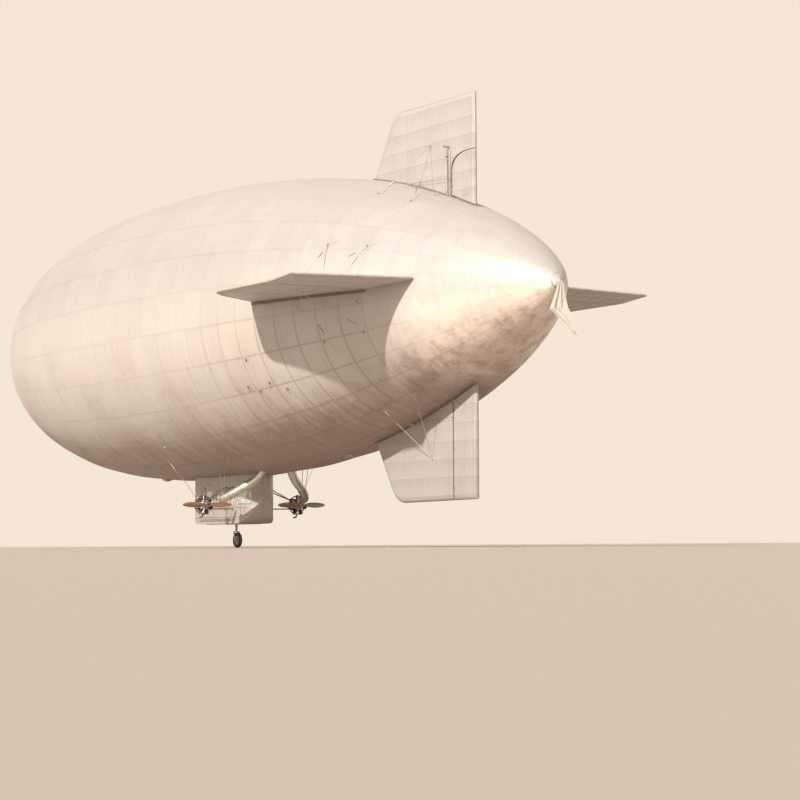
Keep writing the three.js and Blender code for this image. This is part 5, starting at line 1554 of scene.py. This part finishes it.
def makePropellers():
    around = np.linspace(0, 2 * pi, blade["around"], endpoint=False)
    ys = np.concatenate([np.linspace(blade["root"], 0.96 * blade["radius"], blade["steps"]),
                         blade["radius"] * np.linspace(0.97, 1.0, 7)])
    tips = ys[ys > blade["tipFrom"] * blade["radius"]]
    bore, hub, deep, thin = (blade[key] for key in ("bore", "hub", "hubHalf", "plateThick"))
    for name, side in (("port", 1), ("starboard", -1)):
        timber, metal, plates = newShapes(3)
        axle = shift(engine["x"], side * engine["y"], engine["z"])
        base = axle @ shift(blade["plane"])
        for half in (0, pi):
            place = base @ spun(half, "X")
            addRows(timber, [moved(place, bladeRow(y, around)) for y in ys], caps=True)
            addRows(metal, [moved(place, tippingRow(y)) for y in tips], caps=True)
        addDrum(plates, axle @ facingX(), blade["shaft"], 28)
        addDrum(plates, axle @ facingX(), blade["nut"], 6)
        edge = blade["hubEdge"]
        addDrum(timber, base @ facingX(), mirrored(((-deep, bore), (-deep, hub - edge), (-deep + edge, hub))), 48)
        for x in (-deep - thin / 2, deep + thin / 2):
            addDrum(plates, base @ facingX(x), mirrored(((-thin / 2, bore), (-thin / 2, blade["plate"]))), 40)
        for c, s in circle(blade["bolts"]):
            spot = base @ facingX(-deep - thin, blade["boltRing"] * c, blade["boltRing"] * s, -1)
            addDrum(plates, spot, blade["bolt"], 6)
        body = f"{name} propeller"
        finishShape(timber, f"{name}Propeller", "bladeWood", body, [f"propeller_{name}"])
        finishShape(metal, f"{name}PropellerTipping", "brass", body)
        finishShape(plates, f"{name}PropellerHub", "tubeSteel", body)
    print("propellers made")


# Air scoops: pipes behind the propellers, with a rolled mouth, bands and two struts to the hull
scoop = {
    "outer": 0.165, "inner": 0.153, "sides": 40, "mouth": (0.160, 0.010), "bands": (0.16, 0.36, 0.56),
    "path": ((-1.18, 1.75, -6.48), (-1.45, 1.70, -6.44), (-1.90, 1.35, -6.15), (-2.24, 0.85, -5.78),
             (-2.40, 0.56, -5.35)),
    "band": ((-0.016, 0.163), (-0.016, 0.168), (0.016, 0.168), (0.016, 0.163), (-0.016, 0.163)),
    "strutFoot": (-1.32, 1.73, -6.30), "strutTurn": -71, "strutOff": 0.10, "strut": 0.012,
}


def smoothPath(points, count):
    points = [Vector(p) for p in points]
    ends = [points[0] * 2 - points[1], *points, points[-1] * 2 - points[-2]]
    path = []
    for i in range(1, len(points)):
        a, b, c, d = ends[i - 1:i + 3]
        for t in np.linspace(0, 1, count, endpoint=i == len(points) - 1):
            square, cube = 2 * a - 5 * b + 4 * c - d, 3 * b - a - 3 * c + d
            path.append(0.5 * (2 * b + (c - a) * t + square * t * t + cube * t ** 3))
    return path


def alongPath(path, i):     # a frame on the path whose Z looks along it
    along = path[i + 1] - path[max(i - 1, 0)]
    return shift(*path[i]) @ along.to_track_quat("Z", "Y").to_matrix().to_4x4()


def makeScoops():
    pipes, bands = newShapes(2)
    for side in (-1, 1):
        path = smoothPath([onSide(side, p) for p in scoop["path"]], 10)
        outside, inside = (tubeRows(path, scoop[key], scoop["sides"]) for key in ("outer", "inner"))
        addRows(pipes, outside + inside[::-1], ring=True)
        addRing(bands, alongPath(path, 0), *scoop["mouth"], 56, 10)
        for share in scoop["bands"]:
            addDrum(bands, alongPath(path, int(share * (len(path) - 1))), scoop["band"], 48)
        x, y, z = scoop["strutFoot"]
        top = hullFrame(x, scoop["strutTurn"] if side > 0 else -180 - scoop["strutTurn"]).translation
        for off in (-scoop["strutOff"], scoop["strutOff"]):
            addTube(bands, [(x + off, side * y, z), top + Vector((off * 2.2, 0, 0.03))], scoop["strut"], 10)
    finishShape(pipes, "scoopPipes", "spunAluminium",
                replaces=["air_scoop_port", "air_scoop_starboard"])
    finishShape(bands, "scoopBands", "tubeSteel")


# Landing wheel: tyre, rim and hub on the wheel's body; the fork keeps its CAD shape
landing = {
    "centre": (0.9, 0, -8.05), "lugs": 44, "bolts": 8, "boltRing": 0.105, "hubFace": 0.117,
    # profiles: distance along the axle, radius
    "tyre": ((-0.0465, 0.163), (-0.060, 0.178), (-0.073, 0.210), (-0.075, 0.235), (-0.0735, 0.256), (-0.064, 0.277),
             (-0.046, 0.290), (-0.034, 0.2945), (-0.032, 0.289), (-0.024, 0.290), (-0.022, 0.2985), (-0.009, 0.300),
             (-0.007, 0.2935)),
    "rim": ((-0.060, 0.0229), (-0.060, 0.052), (-0.019, 0.066), (-0.019, 0.146), (-0.044, 0.157), (-0.052, 0.176),
            (-0.048, 0.180), (-0.040, 0.164)),
    "bolt": ((-0.002, 0), (-0.002, 0.009), (0.008, 0.009), (0.0085, 0.005), (0.012, 0.005), (0.0125, 0)),
    "nut": ((-0.002, 0), (-0.002, 0.036), (0.002, 0.038), (0.018, 0.038), (0.022, 0.034), (0.022, 0.0)),
    "axleEnd": ((0.022, 0), (0.022, 0.014), (0.030, 0.013), (0.031, 0)), "boltFace": 0.019,
    "collars": ((0.99, 0, -7.45), (0.99, 0, -7.66)), "collar": (0.049, 0.008),
    "valve": ((0.13, 0.022, 0), (0.128, 0.045, 0)), "valveThick": 0.004,
    # corners of a lug above the wheel's middle: x, distance along the axle, radius
    "lug": ((-0.009, 0.045, 0.283), (0.009, 0.045, 0.283), (0.007, 0.070, 0.262), (-0.007, 0.070, 0.262)),
    "lugTall": (0, 0.004, 0.008),
}


def makeLanding():
    tyre, rim, fork = newShapes(3)
    centre = shift(*landing["centre"])
    addDrum(tyre, centre @ facingSide(1), mirrored(landing["tyre"]), 96)
    addDrum(rim, centre @ facingSide(1), mirrored(landing["rim"]), 64)
    lug = [landing["lug"], [Vector(p) + Vector(landing["lugTall"]) for p in landing["lug"]]]
    for side in (-1, 1):
        for k in range(landing["lugs"]):
            place = centre @ spun(2 * pi * k / landing["lugs"], "Y")
            addRows(tyre, [moved(place, [onSide(side, p) for p in row]) for row in lug], caps=True)
        for c, s in circle(landing["bolts"]):
            spot = centre @ shift(landing["boltRing"] * c, side * landing["boltFace"], landing["boltRing"] * s)
            addDrum(rim, spot @ facingSide(side), landing["bolt"], 6)
        end = centre @ shift(y=side * landing["hubFace"]) @ facingSide(side)
        addDrum(fork, end, landing["nut"], 6)
        addDrum(fork, end, landing["axleEnd"], 12)
    addTube(rim, moved(centre, landing["valve"]), landing["valveThick"], 8)
    for spot in landing["collars"]:
        addRing(fork, shift(*spot), *landing["collar"], 32)
    finishShape(tyre, "landingTyre", "tyreRubber", "landing wheel", ["landing_wheel"])
    finishShape(rim, "landingRim", "castCase", "landing wheel")
    finishShape(fork, "forkFittings", "spunAluminium", "landing fork")
    keepNodes(["castor_fork"], "tubeSteel", 0.003)
    print("scoops and landing gear made")


for make in (makeCamera, makeLight, makeLooks, makeFloor, makeHull, makeNose, makeValves, makeFins, makeRigging,
             makeCables, makePost, makePennant, makeCar, makeSeal, makeSeats, makeCockpit, makeEngines,
             makePropellers, makeScoops, makeLanding):
    make()
